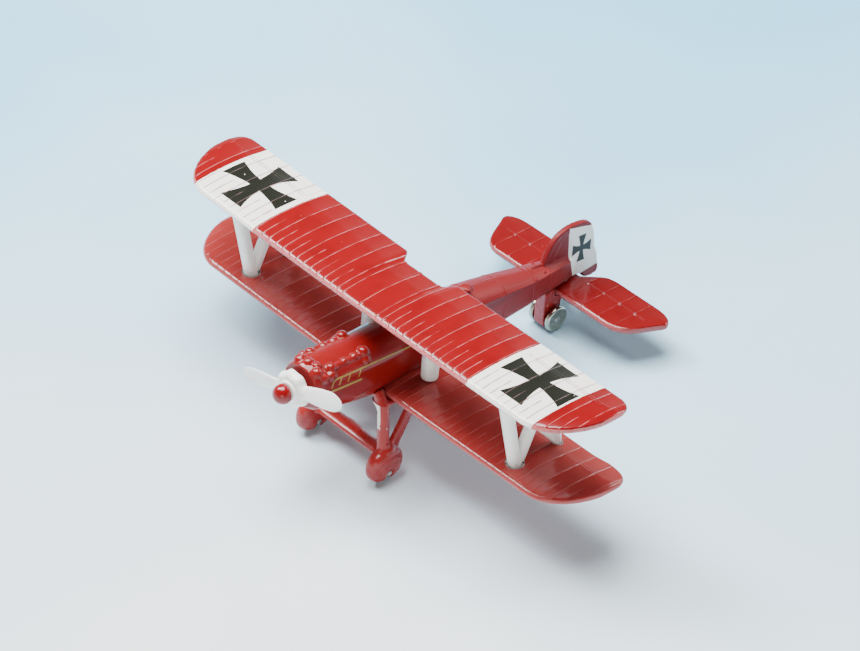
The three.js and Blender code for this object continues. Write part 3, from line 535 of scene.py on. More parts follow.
def lower_wing_material():
    """Enamel in a lighter, pinker copy of the red as painted light for its place under the upper wing, rubbed
    bare round the strut feet.
    """
    f, red = enamel("red_enamel_lower_wing", LOWER_WING_PAINTED_LIGHT_DEEP, LOWER_WING_PAINTED_LIGHT)
    # Rib lines: rubbed paint and a painted highlight.
    red = f.blend(red, WORN_AND_HIGHLIGHT, rib_lines(f) * 0.28)
    reach = f.x.abs() - STRUT_X
    bare_width = 0.52
    rims = []
    for stake in STAKES:
        away = (reach ** 2.0 + (f.y - stake.y) ** 2.0) ** 0.5 + f.noise(1.5, 3) * 0.5
        rims.append(away.below(stake.hole + bare_width, 0.05))
    bare = rims[0].most(rims[1])
    f.set(Base_Color=f.blend(red, BARE, bare), Metallic=bare * 0.9)
    return f.material


def tailplane_material():
    # Tailplane in a darker copy of the red as painted shade.
    f, red = enamel("red_enamel_tailplane", TAIL_PAINTED_SHADE_DEEP, TAIL_PAINTED_SHADE)
    # Rib lines: rubbed paint and a painted highlight.
    f.set(Base_Color=f.blend(red, WORN_AND_HIGHLIGHT, rib_lines(f) * 0.35))
    return f.material


# Painted lines on the nose in side view: start, end and half width.
GOLD_STROKES = (
    ((-8.8, -10.95), (22.0, -12.35), 0.14),
    ((-8.8, -10.95), (-9.6, -11.3), 0.14),
    ((-9.6, -11.3), (-10.2, -12.2), 0.14),
    ((-7.4, -11.0), (-8.3, -12.2), 0.13),
    ((-5.2, -11.1), (-6.1, -12.35), 0.13),
    ((-2.4, -11.25), (-3.3, -12.5), 0.13),
    ((-10.4, -13.05), (-2.6, -13.5), 0.24),
)


def fuselage_material():
    """Enamel in a darker copy of the red as painted shade, darker still on the aft deck, with gold lines on
    the nose and a white rudder with a flared cross; duller aft.
    """
    f, red = enamel("red_enamel_fuselage", FUSELAGE_PAINTED_SHADE_DEEP, FUSELAGE_PAINTED_SHADE)
    # Aft deck and top of the fin in the tail's darker red as painted shade.
    red = f.blend(red, TAIL_PAINTED_SHADE, f.y.above(30.0, 4.0) * f.z.above(-14.5, 0.6))
    colour = chips(f, red, 0.74)
    gold = f.stroke(*GOLD_STROKES[0])
    for stroke in GOLD_STROKES[1:]:
        gold = gold.most(f.stroke(*stroke))
    gold = gold * f.x.abs().above(2.5, 0.2)
    colour = f.blend(colour, GOLD, gold * f.noise(1.2, 4, shift=5.0).above(0.26, 0.05))
    hinge_foot = f.z + 15.5
    hinge = f.z * -0.11 + 57.6 + hinge_foot.least(0.0) * -0.2
    rudder = (f.y - hinge).above(0, 0.06) * (f.z + (f.y - 60.0) * 0.28).below(-7.95, 0.08)
    rudder = rudder * (f.z - (f.y - 61.0) * 0.10).above(-21.0, 0.08) * f.x.abs().below(1.3, 0.1)
    speck = f.dots(0.8, 0.10, 0.2)
    colour = f.blend(colour, f.blend(PRINT, RED, speck), rudder)
    cross_y, cross_z, squeeze = 62.7, -14.1, 0.80
    aft, rise = f.y - cross_y, f.z - cross_z
    cross = f.cross(aft + rise * 0.04, (rise + aft * 0.09) * squeeze, half_length=2.65, root=0.50, flare=0.68)
    chip = f.dots(1.0, 0.22, 0.3) * f.z.below(-15.2, 0.2)
    colour = f.blend(colour, f.blend(INK, RED, chip), cross * rudder)
    dull = f.y.above(27.0, 3.0)
    sheen = f.noise(0.5, 3, shift=4.0) * 0.10 + 0.15
    f.set(Base_Color=colour, Roughness=dull * 0.26 + sheen)
    f.set(Specular_IOR_Level=0.25, Coat_Weight=0.28 - dull * 0.28)
    return f.material


def plastic_material():
    """Milky moulded plastic, greyer in patches low down, at the strut feet."""
    f = Finish("white_plastic")
    haze = f.noise(0.25, 3)
    colour = f.blend((0.86, 0.86, 0.80), (0.93, 0.93, 0.90), haze)
    low_patches = f.z.below(-18.0, 0.7) * f.noise(1.2, 3).above(0.5, 0.15)
    f.set(Base_Color=f.blend(colour, LOW_PATCH_GREY, low_patches * 0.6), Roughness=f.noise(0.7, 3) * 0.15 + 0.26)
    f.set(Subsurface_Weight=0.25, Subsurface_Scale=0.0012, Coat_Weight=0.15, Coat_Roughness=0.2)
    f.bump(f.noise(1.4, 3), 0.12, 0.04)
    return f.material


def plated_material():
    f = Finish("bright_plate")
    tone = f.noise(0.8, 4)
    colour = f.blend((0.34, 0.32, 0.24), (0.60, 0.58, 0.49), tone)
    f.set(Base_Color=colour, Metallic=1.0, Roughness=f.noise(2.0, 5, stretch=(0.3, 1, 1)) * 0.22 + 0.10)
    f.bump(f.noise(3.0, 5, stretch=(0.2, 1, 1)), 0.15, 0.02)
    return f.material


def steel_material():
    f = Finish("dull_steel")
    colour = f.blend((0.30, 0.29, 0.27), (0.56, 0.55, 0.52), f.noise(1.3, 5))
    f.set(Base_Color=colour, Metallic=1.0, Roughness=f.noise(2.4, 4) * 0.2 + 0.32)
    f.bump(f.noise(4.0, 5), 0.25, 0.02)
    return f.material


def spinner_material():
    f, red = enamel("red_spinner")
    f.set(Base_Color=red)
    return f.material


RED_CAST = casting_material()
PLASTIC = plastic_material()
PLATED = plated_material()
STEEL = steel_material()


# --- Wings and tailplane -----------------------------------------------------------------

def wing_stations(half, tip):
    """Places along the span, close together at each rib line and at the tips."""
    bays, fine, coarse, least = 12, 0.08, 0.2, 0.012
    offsets = np.array([0, .06, .12, .2, .32, .5, .8, 1.15, 1.5, 1.7, 1.82, 1.89])
    middle = RIB_PITCH / 2
    bay = np.concatenate([offsets, [middle], RIB_PITCH - offsets[:0:-1]])
    notch_edge = RIB_INNER - 0.3
    inner = [offsets[1:3], [offsets[1] / 2]]
    inner += [np.arange(0, notch_edge, coarse), np.arange(notch_edge, RIB_FIRST, fine)]
    xs = np.concatenate(inner + [RIB_FIRST + RIB_PITCH * k + bay for k in range(bays)])
    ends = half - tip * (1 - np.sin(np.linspace(math.radians(60), QUARTER, 24)))
    xs = np.unique(np.round(np.concatenate([xs[xs < half - 0.2], ends]), 4))
    xs = xs[np.concatenate([[True], np.diff(xs) > least])]
    xs[-1] = half
    return np.concatenate([-xs[:0:-1], xs])


def wing_shares(chord, hinge):
    """Places along the chord, close together at the nose, the hinge line and the trailing edge."""
    coarse, fine, tail_round = 0.42, 0.1, 0.35
    nose = 1 - np.cos(np.linspace(0, QUARTER, 10))
    main = np.arange(1.35, hinge - 0.9, coarse)
    close = np.arange(hinge - 0.8, hinge + 0.85, fine)
    aft = np.arange(hinge + 1.15, chord - 0.5, coarse)
    tail = chord - tail_round * (1 - np.sin(np.linspace(0, QUARTER, 6)))
    return np.concatenate([nose, main, close, aft, tail]) / chord


def wing_skin(xs, front, back, level, chord, shares, relief, thickness=1.3, camber=0.7, nose=1.0, taper=0.5):
    """Wing between two plan outlines; relief gives (height, wear) over the top."""
    below_count, edge_round, tip_round = 34, 0.4, 0.7
    spread = np.linspace(0, 1, below_count)
    low_shares = np.interp(spread, np.linspace(0, 1, len(shares)), shares)[1:-1][::-1]
    half = np.abs(xs[-1])
    rows, wears = [], []
    for x, y0, y1 in zip(xs, front, back):
        c = max(y1 - y0, 1e-3)
        tip = math.sqrt(max(0.0, 1 - (1 - min(1.0, (half - abs(x)) / tip_round + 0.02)) ** 2))

        def surface(t, side):
            ahead, behind = t * c, (1 - t) * c
            round_front = np.sqrt(1 - (1 - np.minimum(1, ahead / nose)) ** 2)
            round_back = np.sqrt(np.clip(1 - (1 - np.minimum(1, behind / edge_round)) ** 2, 0.0, 1))
            thick = thickness * (1 - taper * np.clip((t - 0.7) / 0.3, 0, 1))
            z = level + camber * np.sin(math.pi * t ** 0.8) * c / chord
            return z + side * thick / 2 * round_front * round_back * tip

        y_up, z_up = y0 + shares * c, surface(shares, 1)
        height, wear = relief(x, y_up, shares)
        edge = np.minimum(shares * c, (1 - shares) * c)
        z_up = z_up + height * smoothstep(0.02, 0.7, edge) * tip
        y_low, z_low = y0 + low_shares * c, surface(low_shares, -1)
        ys, zs = np.concatenate([y_up, y_low]), np.concatenate([z_up, z_low])
        rows.append(np.stack([np.full(len(ys), x), ys, zs], 1))
        rim = 1.2 + 1.2 * smoothstep(0.35, 0.0, np.minimum(shares * c, half - abs(x)))
        top_wear = np.where(np.minimum(shares * c, half - abs(x)) < 0.35, rim, wear)
        low_wear = np.where(np.minimum(low_shares * c, half - abs(x)) < 0.5, 2.2, 0.0)
        wears.append(np.concatenate([top_wear, low_wear]))
    solid = loft(rows)
    wear = np.concatenate(wears + [np.zeros(2)])
    return solid, wear


def hump(distance, width):
    """Smooth bump of height 1 that dies away within about two widths."""
    return np.exp(-(distance / width) ** 2)


def wing_relief(hinge, hinge_from, hinge_to):
    """Rib lines, sag of the covering between them, short nose ribs and the hinge line, over the top."""
    rib_height, short_height, sag, hinge_height, nub_height = 0.06, 0.055, 0.05, 0.05, 0.10
    bar_gap, bar_width, nub_y, nub_within = 0.33, 0.09, 1.0, 7

    def relief(x, y, t):
        a = abs(x)
        if a >= RIB_FIRST:
            bay = (a - RIB_FIRST) / RIB_PITCH
            u, span = bay - math.floor(bay), RIB_PITCH
        elif a >= RIB_INNER:
            u, span = (a - RIB_INNER) / (RIB_FIRST - RIB_INNER), RIB_FIRST - RIB_INNER
        else:
            u, span = a / RIB_INNER, RIB_INNER
        away = min(u, 1 - u) * span
        wobble = 0.03 * np.sin(1.7 * y + 2.3 * round(x))
        line = hump(away + wobble * 0.5, RIB_WIDTH)
        slack = sag * math.sin(math.pi * u) * min(1.0, span / 3)
        height = rib_height * line - slack * smoothstep(0.08, 0.3, t)
        middle = abs(u - 0.5) * span
        short = hump(middle + wobble, RIB_WIDTH) * smoothstep(0.36, 0.31, t) * (a > RIB_FIRST)
        height = height + short_height * short
        wear = np.maximum(line, short * 0.95) * smoothstep(0.02, 0.05, t)
        bars = hump(y - hinge + bar_gap, bar_width) + hump(y - hinge - bar_gap, bar_width)
        on = float(between(a, hinge_from, hinge_to, 0.1))
        ends = hump(a - hinge_from, 0.10) * smoothstep(hinge - 0.3, hinge, y)
        height = height + hinge_height * bars * on + hinge_height * ends
        nub = hump(away, 0.16) * hump(y - nub_y, 0.35) * (a < nub_within)
        wear = np.maximum(wear, np.maximum(bars * on * 0.75, ends * 0.8))
        return height + nub_height * nub, wear
    return relief


def wing_outline(xs, wing):
    """Leading and trailing edge of a wing with a swept round tip."""
    widest, front_power, back_power = 0.765, 2.5, 0.4
    notch_from, notch_to = 4.8, 7.6
    a = np.abs(xs)
    s = np.clip((a - (wing.half - wing.tip)) / wing.tip, 0, 1)
    front = wing.lead + widest * wing.chord * (1 - np.sqrt(1 - s ** 2))
    c = np.clip((a - (wing.half - wing.corner)) / wing.corner, 0, 1)
    share = widest + (1 - widest) * np.clip(1 - c ** front_power, 0, 1) ** back_power
    back = wing.lead + wing.chord * share
    return front, back - wing.notch * (1 - smoothstep(notch_from, notch_to, a))


def wing_solid(wing, ripple):
    """Skin and wear of one wing; ripple is added to its trailing edge."""
    xs = wing_stations(wing.half, wing.tip)
    front, back = wing_outline(xs, wing)
    shares = wing_shares(wing.chord, wing.hinge - wing.lead)
    relief = wing_relief(wing.hinge, *wing.ends)
    return wing_skin(xs, front, back + ripple(xs), wing.level, wing.chord, shares, relief)


def upper_bosses():
    """Sockets under the upper wing, round the strut and post pegs."""
    strut_boss, post_boss, level = 2.1, 2.25, -0.95
    spots = [(s * STRUT_X, y, strut_boss) for _, s in SIDES for y in STRUT_PEGS]
    spots += [(s * CABANE_X, CABANE_Y, post_boss) for _, s in SIDES]
    whole = Solid()
    for x, y, r in spots:
        profile = [(-0.5, 0.9), (-0.5, r - 0.15), (-0.38, r), (0.3, r + 0.1), (0.75, r + 0.2), (0.75, 0.5)]
        whole += turned(profile, (x, y, level), (0, 0, 1), 40)
    return whole


def build_upper_wing():
    def ripple(xs):
        return 0.22 * hump(np.abs(xs) - 4.75, 0.3) + 0.22 * hump(xs + 0.4, 0.25)

    solid, wear = wing_solid(UPPER, ripple)
    bosses = upper_bosses()
    obj = to_object("Upper_wing", solid + bosses)
    set_attribute(obj, "wear", np.concatenate([wear, np.zeros(len(bosses.verts))]))
    place(obj, "airframe", ["upper_wing"], upper_wing_material(), True)


def build_lower_wing():
    def ripple(xs):
        return 0.5 * hump(np.abs(xs) - 49.0, 2.6)

    solid, wear = wing_solid(LOWER, ripple)
    obj = to_object("Lower_wing", solid)
    set_attribute(obj, "wear", wear)
    holes = Solid()
    for _, side in SIDES:
        for stake in STAKES:
            through = [(-24, stake.hole), (-17, stake.hole)]
            holes += turned(through, (side * STRUT_X, stake.y, 0), (0, 0, 1), 48)
    subtract(obj, to_object("holes", holes))
    place(obj, "airframe", ["lower_wing"], lower_wing_material(), True)


def build_tailplane():
    half, chord, hinge, tip = TAILPLANE.half, TAILPLANE.chord, TAILPLANE.hinge, 1.4
    line_width, knot_width, bar_from, bar_to = 0.10, 0.28, 3.8, 19.4
    ends = half - tip * (1 - np.sin(np.linspace(0, QUARTER, 18)))
    xs = np.unique(np.concatenate([np.arange(0, half - tip, 0.14), ends]))
    xs = np.concatenate([-xs[:0:-1], xs])
    smoothing = 7
    edges = []
    for outline in (TAIL_FRONT, TAIL_BACK):
        edge = np.interp(np.abs(xs), *zip(*outline))
        edge[smoothing // 2:-(smoothing // 2)] = np.convolve(edge, np.ones(smoothing) / smoothing, "valid")
        edges.append(edge)
    nose = 1 - np.cos(np.linspace(0, QUARTER, 9))
    tail = chord - 0.5 * (1 - np.sin(np.linspace(0, QUARTER, 7)))
    shares = np.concatenate([nose, np.arange(1.2, 11.3, 0.16), tail]) / chord

    def relief(x, y, t):
        away = np.min(np.abs(np.abs(x) - np.array(TAILPLANE.ribs)))
        away = away + 0.05 * np.sin(1.3 * y + round(x))
        line = hump(away, line_width)
        bar = hump(y - hinge, line_width) * float(between(abs(x), bar_from, bar_to, 0.2))
        knots = hump(away, knot_width) * hump(y - hinge, knot_width)
        return 0.08 * line + 0.08 * bar + 0.13 * knots, np.maximum(line * 0.9, bar * 0.8)

    solid, wear = wing_skin(xs, *edges, TAILPLANE.level, chord, shares, relief,
                            thickness=1.5, camber=0.1, nose=0.8, taper=0.12)
    obj = to_object("Tailplane", solid)
    for vertex in obj.data.vertices:
        vertex.co.y += TAILPLANE.skew * vertex.co.x
    set_attribute(obj, "wear", wear)
    place(obj, "airframe", ["tailplane"], tailplane_material())


# --- Fuselage ----------------------------------------------------------------------------

# Along, half width, crest, shoulder, keel, and how square the section is above and below.
STATIONS = np.array([
    (-13.6, 4.6, -8.7, -13.1, -17.7, 2.0, 2.2),
    (-12.7, 5.1, -8.3, -13.1, -18.3, 2.1, 2.5),
    (-8, 5.4, -8.3, -13.1, -19.2, 2.1, 3.5),
    (-2, 5.5, -8.5, -13.2, -20.2, 2.0, 5),
    (3, 5.5, -8.7, -13.3, -20.5, 2.0, 6),
    (13, 5.4, -8.7, -13.0, -20.5, 2.0, 6),
    (24, 4.9, -8.9, -12.2, -20.5, 1.9, 6),
    (32, 4.1, -9.9, -12.1, -20.5, 1.6, 6),
    (40, 3.7, -11.4, -13.2, -20.4, 1.5, 6),
    (46.7, 3.1, -13.1, -14.4, -20.3, 1.5, 6),
    (52, 2.4, -14.0, -15.0, -20.3, 1.5, 6),
    (58, 1.4, -14.9, -15.8, -20.6, 1.5, 6),
    (60.9, 0.72, -15.4, -16.2, -20.8, 1.5, 5),
])
DENSE = np.linspace(STATIONS[0, 0], STATIONS[-1, 0], 251)
BLUR, CRISP_NOSE = 15, 12


def smoothed(values):
    """One measure of the stations at every dense place, blurred except at the nose."""
    plain = np.interp(DENSE, STATIONS[:, 0], values)
    smooth = np.convolve(np.pad(plain, BLUR // 2, "edge"), np.ones(BLUR) / BLUR, "valid")
    smooth[:CRISP_NOSE] = plain[:CRISP_NOSE]
    return smooth


MEASURES = [smoothed(values) for values in STATIONS.T[1:]]


def hull_at(y):
    return [float(np.interp(y, DENSE, measure)) for measure in MEASURES]


def hull_top(x, y):
    """Height of the deck."""
    width, crest, shoulder, _, upper, _ = hull_at(y)
    share = min(1.0, abs(x) / width)
    return shoulder + (crest - shoulder) * (1 - share ** upper) ** (1 / upper)


def squared(wave, power):
    """Cosine or sine of a superellipse."""
    return np.sign(wave) * np.abs(wave) ** (2 / power)


def hull_ring(y, steps=88):
    width, crest, shoulder, keel, upper, lower = hull_at(y)
    c, s = np.cos(around(steps)), np.sin(around(steps))
    power = np.where(s > 0, upper, lower)
    rise = np.where(s > 0, crest - shoulder, shoulder - keel)
    return np.stack([width * squared(c, power), np.full(steps, y), shoulder + rise * squared(s, power)], 1)


def hoop(y, radius):
    """Bead across the deck and down both sides at one station."""
    width, _, shoulder, keel, _, _ = hull_at(y)
    foot, deck = keel + 1.2, width * 0.985
    path = [(-width, y, z) for z in np.linspace(foot, shoulder, 12)]
    path += [(x, y, hull_top(x, y)) for x in np.linspace(-deck, deck, 26)]
    path += [(width, y, z) for z in np.linspace(shoulder, foot, 12)]
    return sweep(path, radius)


def bump(x, y, radius, height):
    """Low round swelling on the deck."""
    return ball((x, y, hull_top(x, y) + height - radius), (radius, radius, radius), 24)


# Rocker caps and fillers of one row, as (out, along, radius, height), then the front plugs, as
# (out, along, radius), and how a plug tapers, as (height, share of its radius).
ROCKERS = ((3.0, -8.8, 1.15, 0.8), (3.0, -5.3, 0.95, 0.6), (3.0, -2.7, 0.9, 0.6), (3.0, -0.3, 1.35, 1.15),
           (3.3, -8.0, 0.75, 0.55), (3.95, -9.5, 1.1, 0.55), (4.0, -0.6, 1.1, 0.5))
PLUGS = ((-2.5, -12.3, 1.5), (-0.1, -12.0, 1.25), (1.7, -11.5, 1.2), (2.9, -12.4, 1.4), (4.1, -11.6, 1.35))
PLUG_TAPER = ((-0.5, 1.0), (0.35, 0.98), (0.85, 0.72), (1.15, 0.3))


def engine_rows():
    """Two rows of rocker caps and the blunt plugs around the front of the nose."""
    rail_x, rail_radius, rail_sunk, plug_sides, plug_sunk = 3.05, 0.8, 0.45, 6, 0.5
    whole = Solid()
    for _, side in SIDES:
        rail = [(side * rail_x, y, hull_top(rail_x, y) - rail_sunk) for y in np.linspace(-9.6, 0.8, 14)]
        whole += sweep(rail, rail_radius, 14)
        for out, y, radius, height in ROCKERS:
            whole += bump(side * out, y, radius, height)
    for x, y, radius in PLUGS:
        out = Vector((x, -3.0, hull_top(x, y) - HUB.z)).normalized()
        base = Vector((x, y, hull_top(x, y))) - out * plug_sunk
        u, v = sides_of(out)
        rings = [circle(base + out * lift, u, v, radius * share, plug_sides) for lift, share in PLUG_TAPER]
        whole += loft(rings)
    return whole


# Fin and rudder in side view, from the front root over the top to the foot of the rudder.
FIN = [(51.0, -16.5), (52.0, -13.4), (53.3, -10.4), (54.5, -8.8), (55.8, -7.9), (58.3, -7.25), (60.6, -7.3),
       (62.8, -7.7), (64.4, -8.5), (65.2, -9.6), (65.9, -11.4), (66.7, -15.6), (67.6, -17.6), (67.9, -19.6),
       (68.4, -22.1), (66.9, -22.7), (64.6, -22.3), (63.9, -20.9)]
FIN_ROOT = [(60.5, -20.3), (55.0, -18.5)]
FIN_RECESS = [(54.6, -14.2), (56.4, -10.2), (58.0, -8.9), (59.2, -8.8), (59.6, -14.9)]
HOOPS = ((38.4, 0.15), (47.2, 0.14), (52.4, 0.13), (30.2, 0.15))


def fin_solid():
    half, rim_inset, rim_radius, foot_points = 0.56, 0.62, 0.66, 8
    outline = spline(FIN, 5)
    middle = np.mean(outline, 0)
    inward = [(p, middle - p) for p in outline[:-foot_points]]
    rim = [p + rim_inset * toward / np.linalg.norm(toward) for p, toward in inward]
    whole = plate(outline + FIN_ROOT, -half, half) + sweep([(0, y, z) for y, z in rim], rim_radius, 14)
    return whole + sweep([(0, 52.6, -14.6), (0, 55, -15.1), (0, 60.5, -16.1)], 0.62, 12)


def deck_edges(side):
    """Beads and pips along one side of the fuselage."""
    roof_share = 0.6
    edge = [(side * hull_at(y)[0], y, hull_at(y)[2] + 0.1) for y in np.linspace(30, 60, 24)]
    roof = []
    for y in np.linspace(39, 46.8, 8):
        x = hull_at(y)[0] * roof_share
        roof.append((side * x, y, hull_top(x, y)))
    seam = [(side * (hull_at(y)[0] + 0.02), y, -17.2) for y in np.linspace(-4, 3, 8)]
    whole = sweep(edge, 0.11) + sweep(roof, 0.11) + sweep(seam, 0.12)
    whole += ball((side * 2.6, 47.9, hull_top(2.6, 47.9)), (0.3, 0.3, 0.3), 12)
    return whole + ball((side * 1.6, 51.2, hull_top(1.6, 51.2)), (0.35, 0.35, 0.3), 12)


def cockpit_rim():
    rim = []
    for a in np.linspace(0, TURN, 33):
        x, y = COCKPIT.half_width * math.cos(a), COCKPIT.y + COCKPIT.half_length * math.sin(a)
        rim.append((x, y, hull_top(x, y) + 0.05))
    return sweep(rim, 0.28)


def fuselage_cuts():
    """Cockpit well, belly hollow, bore of the spinner pin and the panel on each side of the fin."""
    inside, panel_depth, outside = 0.35, 0.42, 3
    half_width, half_length = COCKPIT.half_width - inside, COCKPIT.half_length - inside
    ring = circle((0, COCKPIT.y, 0), (1, 0, 0), (0, 1, 0), half_width, 40, half_length)
    cuts = loft([ring + np.array([0, 0, z]) for z in (-12.3, -6)])
    cuts += cuboid((-10, 3.9, -30), (10, 23.3, -18.35))
    cuts += turned([(0, 1.0), (11, 1.0)], (0, -20.3, HUB.z), (0, 1, 0), 24)
    for _, side in SIDES:
        low, high = sorted((side * panel_depth, side * outside))
        cuts += plate(FIN_RECESS, low, high)
    return cuts


def build_fuselage():
    whole = loft([hull_ring(y) for y in DENSE]) + engine_rows() + fin_solid()
    spine = [(0, y, hull_top(0, y) + 0.02) for y in np.linspace(31.5, 39, 10)]
    whole += sweep(spine, 0.2)
    for y, radius in HOOPS:
        whole += hoop(y, radius)
    for _, side in SIDES:
        whole += deck_edges(side)
    whole += sweep([(0, 52.0, -13.9), (0, 50.2, -13.5), (0, 48.6, -13.4)], 0.3)
    headrest = ball((1.0, 29.6, -9.35), (1.0, 0.7, 0.6), 14) + ball((0, 29.7, -10.4), (1.6, 2.5, 1.6))
    whole += headrest + cockpit_rim()
    obj = cast("Fuselage", whole, fuselage_cuts(), voxel=0.14, smooth=3)
    place(obj, "airframe", ["fuselage"], fuselage_material())


# --- Struts and posts --------------------------------------------------------------------

# Outline of the web between the strut's three legs, the staked heads as (height, radius), and the
# post from its staked foot to its peg.
WEB = [(11.3, -12.2), (12.7, -12.7), (18.5, -18.9), (19.7, -18.9), (15.4, -2.0), (14.2, -2.0)]
WEB_HALF = 0.75
FRONT_HEAD = [(-0.5, 0.2), (-0.5, 1.6), (-0.35, 2.1), (-0.08, 2.15), (0, 1.9), (0, 0.5)]
REAR_HEAD = [(-0.5, 0.2), (-0.5, 1.1), (-0.3, 1.4), (0, 1.3), (0, 0.4)]
POST = [(-19.5, 0.7), (-18.55, 0.7), (-18.5, 1.45), (-18.35, 1.7), (-17.8, 1.78), (-10, 1.86), (-2.1, 1.95),
        (-1.85, 1.85), (-1.78, 0.75), (-0.75, 0.7), (-0.7, 0.4)]


def strut_solid(x):
    front, rear = STAKES
    whole = rod((x, 8.3, -19.9), (x, 3.3, -1.75), 1.34, 1.42)
    whole += rod((x, 8.9, -18.5), (x, 15.0, -1.9), 1.25, 1.3)
    whole += rod((x, 19.6, -19.2), (x, 14.95, -1.8), 1.0, 1.25)
    whole += plate(WEB, x - WEB_HALF, x + WEB_HALF)
    for y in STRUT_PEGS:
        whole += rod((x, y, -2.6), (x, y, -0.7), 0.7)
    whole += rod((x, front.y, -20.7), (x, front.y, -18.2), 1.3)
    whole += turned(FRONT_HEAD, (x, front.y, -20.56), (0, 0, 1), 36)
    whole += rod((x, rear.y, -20.8), (x, rear.y, -18.2), 0.7)
    return whole + turned(REAR_HEAD, (x, rear.y, -20.72), (0, 0, 1), 30)


def build_struts():
    for name, side in SIDES:
        strut = cast(f"{name}_interplane_strut", strut_solid(side * STRUT_X))
        place(strut, "airframe", [f"{name}_interplane_strut"], PLASTIC, True)
        foot = (side * CABANE_X, CABANE_Y, 0)
        post = to_object(f"{name}_cabane_post", turned(POST, foot, (0, 0, 1), 64))
        place(post, "airframe", [f"{name}_cabane_post"], PLASTIC)


# --- Propeller and spinner ---------------------------------------------------------------

BLADE = Sizes(root=2, length=12.3, half_chord=2.05, half_thick=0.5, pitch=12, twist=10, points=40)
BLADE_REST = -18.6
HUB_WAVES, HUB_POINTS = 8, 96
# The hub disc from back to front, as (radius, along, wave height), and its boss and bore.
HUB_DISCS = ((3.6, 1.04, 0.1), (3.84, 0.75, 0.2), (3.86, 0.1, 0.2), (3.7, -0.45, 0.2), (3.35, -0.85, 0.16),
             (2.9, -1.04, 0.1))
HUB_BOSS = [(0, 2.2), (-1.3, 2.2), (-1.5, 2.0)]
HUB_BORE = [(-4, 0.79), (4, 0.79)]
DOME_RADIUS, DOME_Y = 2.05, -18.2
PIN_SHANK = [(0.7, 1.5), (0.7, 0.72), (8.6, 0.7), (8.7, 0.5)]


def blade(side):
    """Twisted blade with a rounded tip, out along the row from the hub."""
    rings = []
    near_tip = 1 - 0.1 * np.cos(np.linspace(0, QUARTER, 14))[1:]
    for share in np.concatenate([np.linspace(0, 0.9, 26), near_tip]):
        radius = BLADE.root + BLADE.length * share
        swell = 0.5 + 0.5 * math.sin(math.pi * min(1, 0.1 + share) ** 1.1 * 0.62)
        round_tip = math.sqrt(max(0.0004, 1 - max(0, (share - 0.72) / 0.28) ** 2))
        half_chord = BLADE.half_chord * swell * round_tip
        half_thick = BLADE.half_thick * (1.1 - 0.6 * share) * max(0.25, round_tip)
        pitch = math.radians(BLADE.pitch + BLADE.twist * (0.5 - share))
        angles = around(BLADE.points)
        across, deep = half_chord * np.cos(angles), half_thick * np.sin(angles)
        z = across * math.cos(pitch) - deep * math.sin(pitch)
        y = across * math.sin(pitch) + deep * math.cos(pitch)
        rings.append(np.stack([np.full(BLADE.points, side * radius), y, side * z], 1))
    return loft(rings)


def hub_disc(radius, y, wave):
    angles = around(HUB_POINTS)
    r = radius + wave * np.cos(HUB_WAVES * angles)
    return np.stack([r * np.cos(angles), np.full(HUB_POINTS, y), r * np.sin(angles)], 1)


def build_propeller():
    hub = loft([hub_disc(*row) for row in HUB_DISCS])
    boss = turned(HUB_BOSS, (0, 0, 0), (0, 1, 0), 48)
    whole = hub + boss + blade(1) + blade(-1)
    obj = cast("Propeller", whole, turned(HUB_BORE, (0, 0, 0), (0, 1, 0), 32), voxel=0.1)
    obj.data.transform(Matrix.Translation(HUB) @ Matrix.Rotation(math.radians(BLADE_REST), 4, "Y"))
    place(obj, "propeller", ["propeller"], PLASTIC)
    dome_angles = np.linspace(0.02, math.radians(106), 40)
    dome = [(-DOME_RADIUS * math.cos(a), DOME_RADIUS * math.sin(a)) for a in dome_angles]
    pin = to_object("Spinner_pin", turned(dome + PIN_SHANK, (0, DOME_Y, HUB.z), (0, 1, 0), 64))
    place(pin, "airframe", ["spinner_pin"], spinner_material())


# --- Undercarriage -----------------------------------------------------------------------

SPAT_POINTS = 48
SPAT_ACROSS, SPAT_ROUND = 2.6, 2.4
WELL_RADIUS, WELL_HALF, SLOT_HALF, BELOW = 2.8, 0.8, 0.85, -42
AXLE_RADIUS = 0.5
LEG_FOOT = [(4.98, 2.4), (5.6, 1.9), (6.6, 1.6), (7.6, 2.2), (8.05, 3.6), (8.05, 13.2), (7.6, 14.3),
            (6.6, 14.55), (4.98, 14.55)]
FAIRING = Sizes(half=9.4, y=1.7, z=-31.3, half_chord=1.7, half_thick=0.85, points=32)


def spat(side):
    """Rounded box with its corners softened like a superellipsoid."""
    rings = []
    c, s = np.cos(around(SPAT_POINTS)), np.sin(around(SPAT_POINTS))
    for lean in np.radians(np.linspace(-84, 84, 25)):
        spread = math.cos(lean) ** (2 / SPAT_ACROSS)
        x = side * (SPAT.x + SPAT_HALF.x * float(squared(np.sin(lean), SPAT_ACROSS)))
        ys = SPAT.y + SPAT_HALF.y * spread * squared(c, SPAT_ROUND)
        zs = SPAT.z + SPAT_HALF.z * spread * squared(s, SPAT_ROUND)
        rings.append(np.stack([np.full(SPAT_POINTS, x), ys, zs], 1))
    return loft(rings)


def spat_seam(side):
    """Raised arch on the outer face of a spat."""
    arch = Sizes(y=1.8, half=2.9, foot=-33.3, height=1.6)
    seam = []
    for y in np.linspace(-0.9, 4.6, 14):
        rise = math.sqrt(max(0, 1 - ((y - arch.y) / arch.half) ** 2))
        seam.append((side * (SPAT.x + SPAT_HALF.x), y, arch.foot + arch.height * rise))
    return sweep(seam, 0.07, 8)


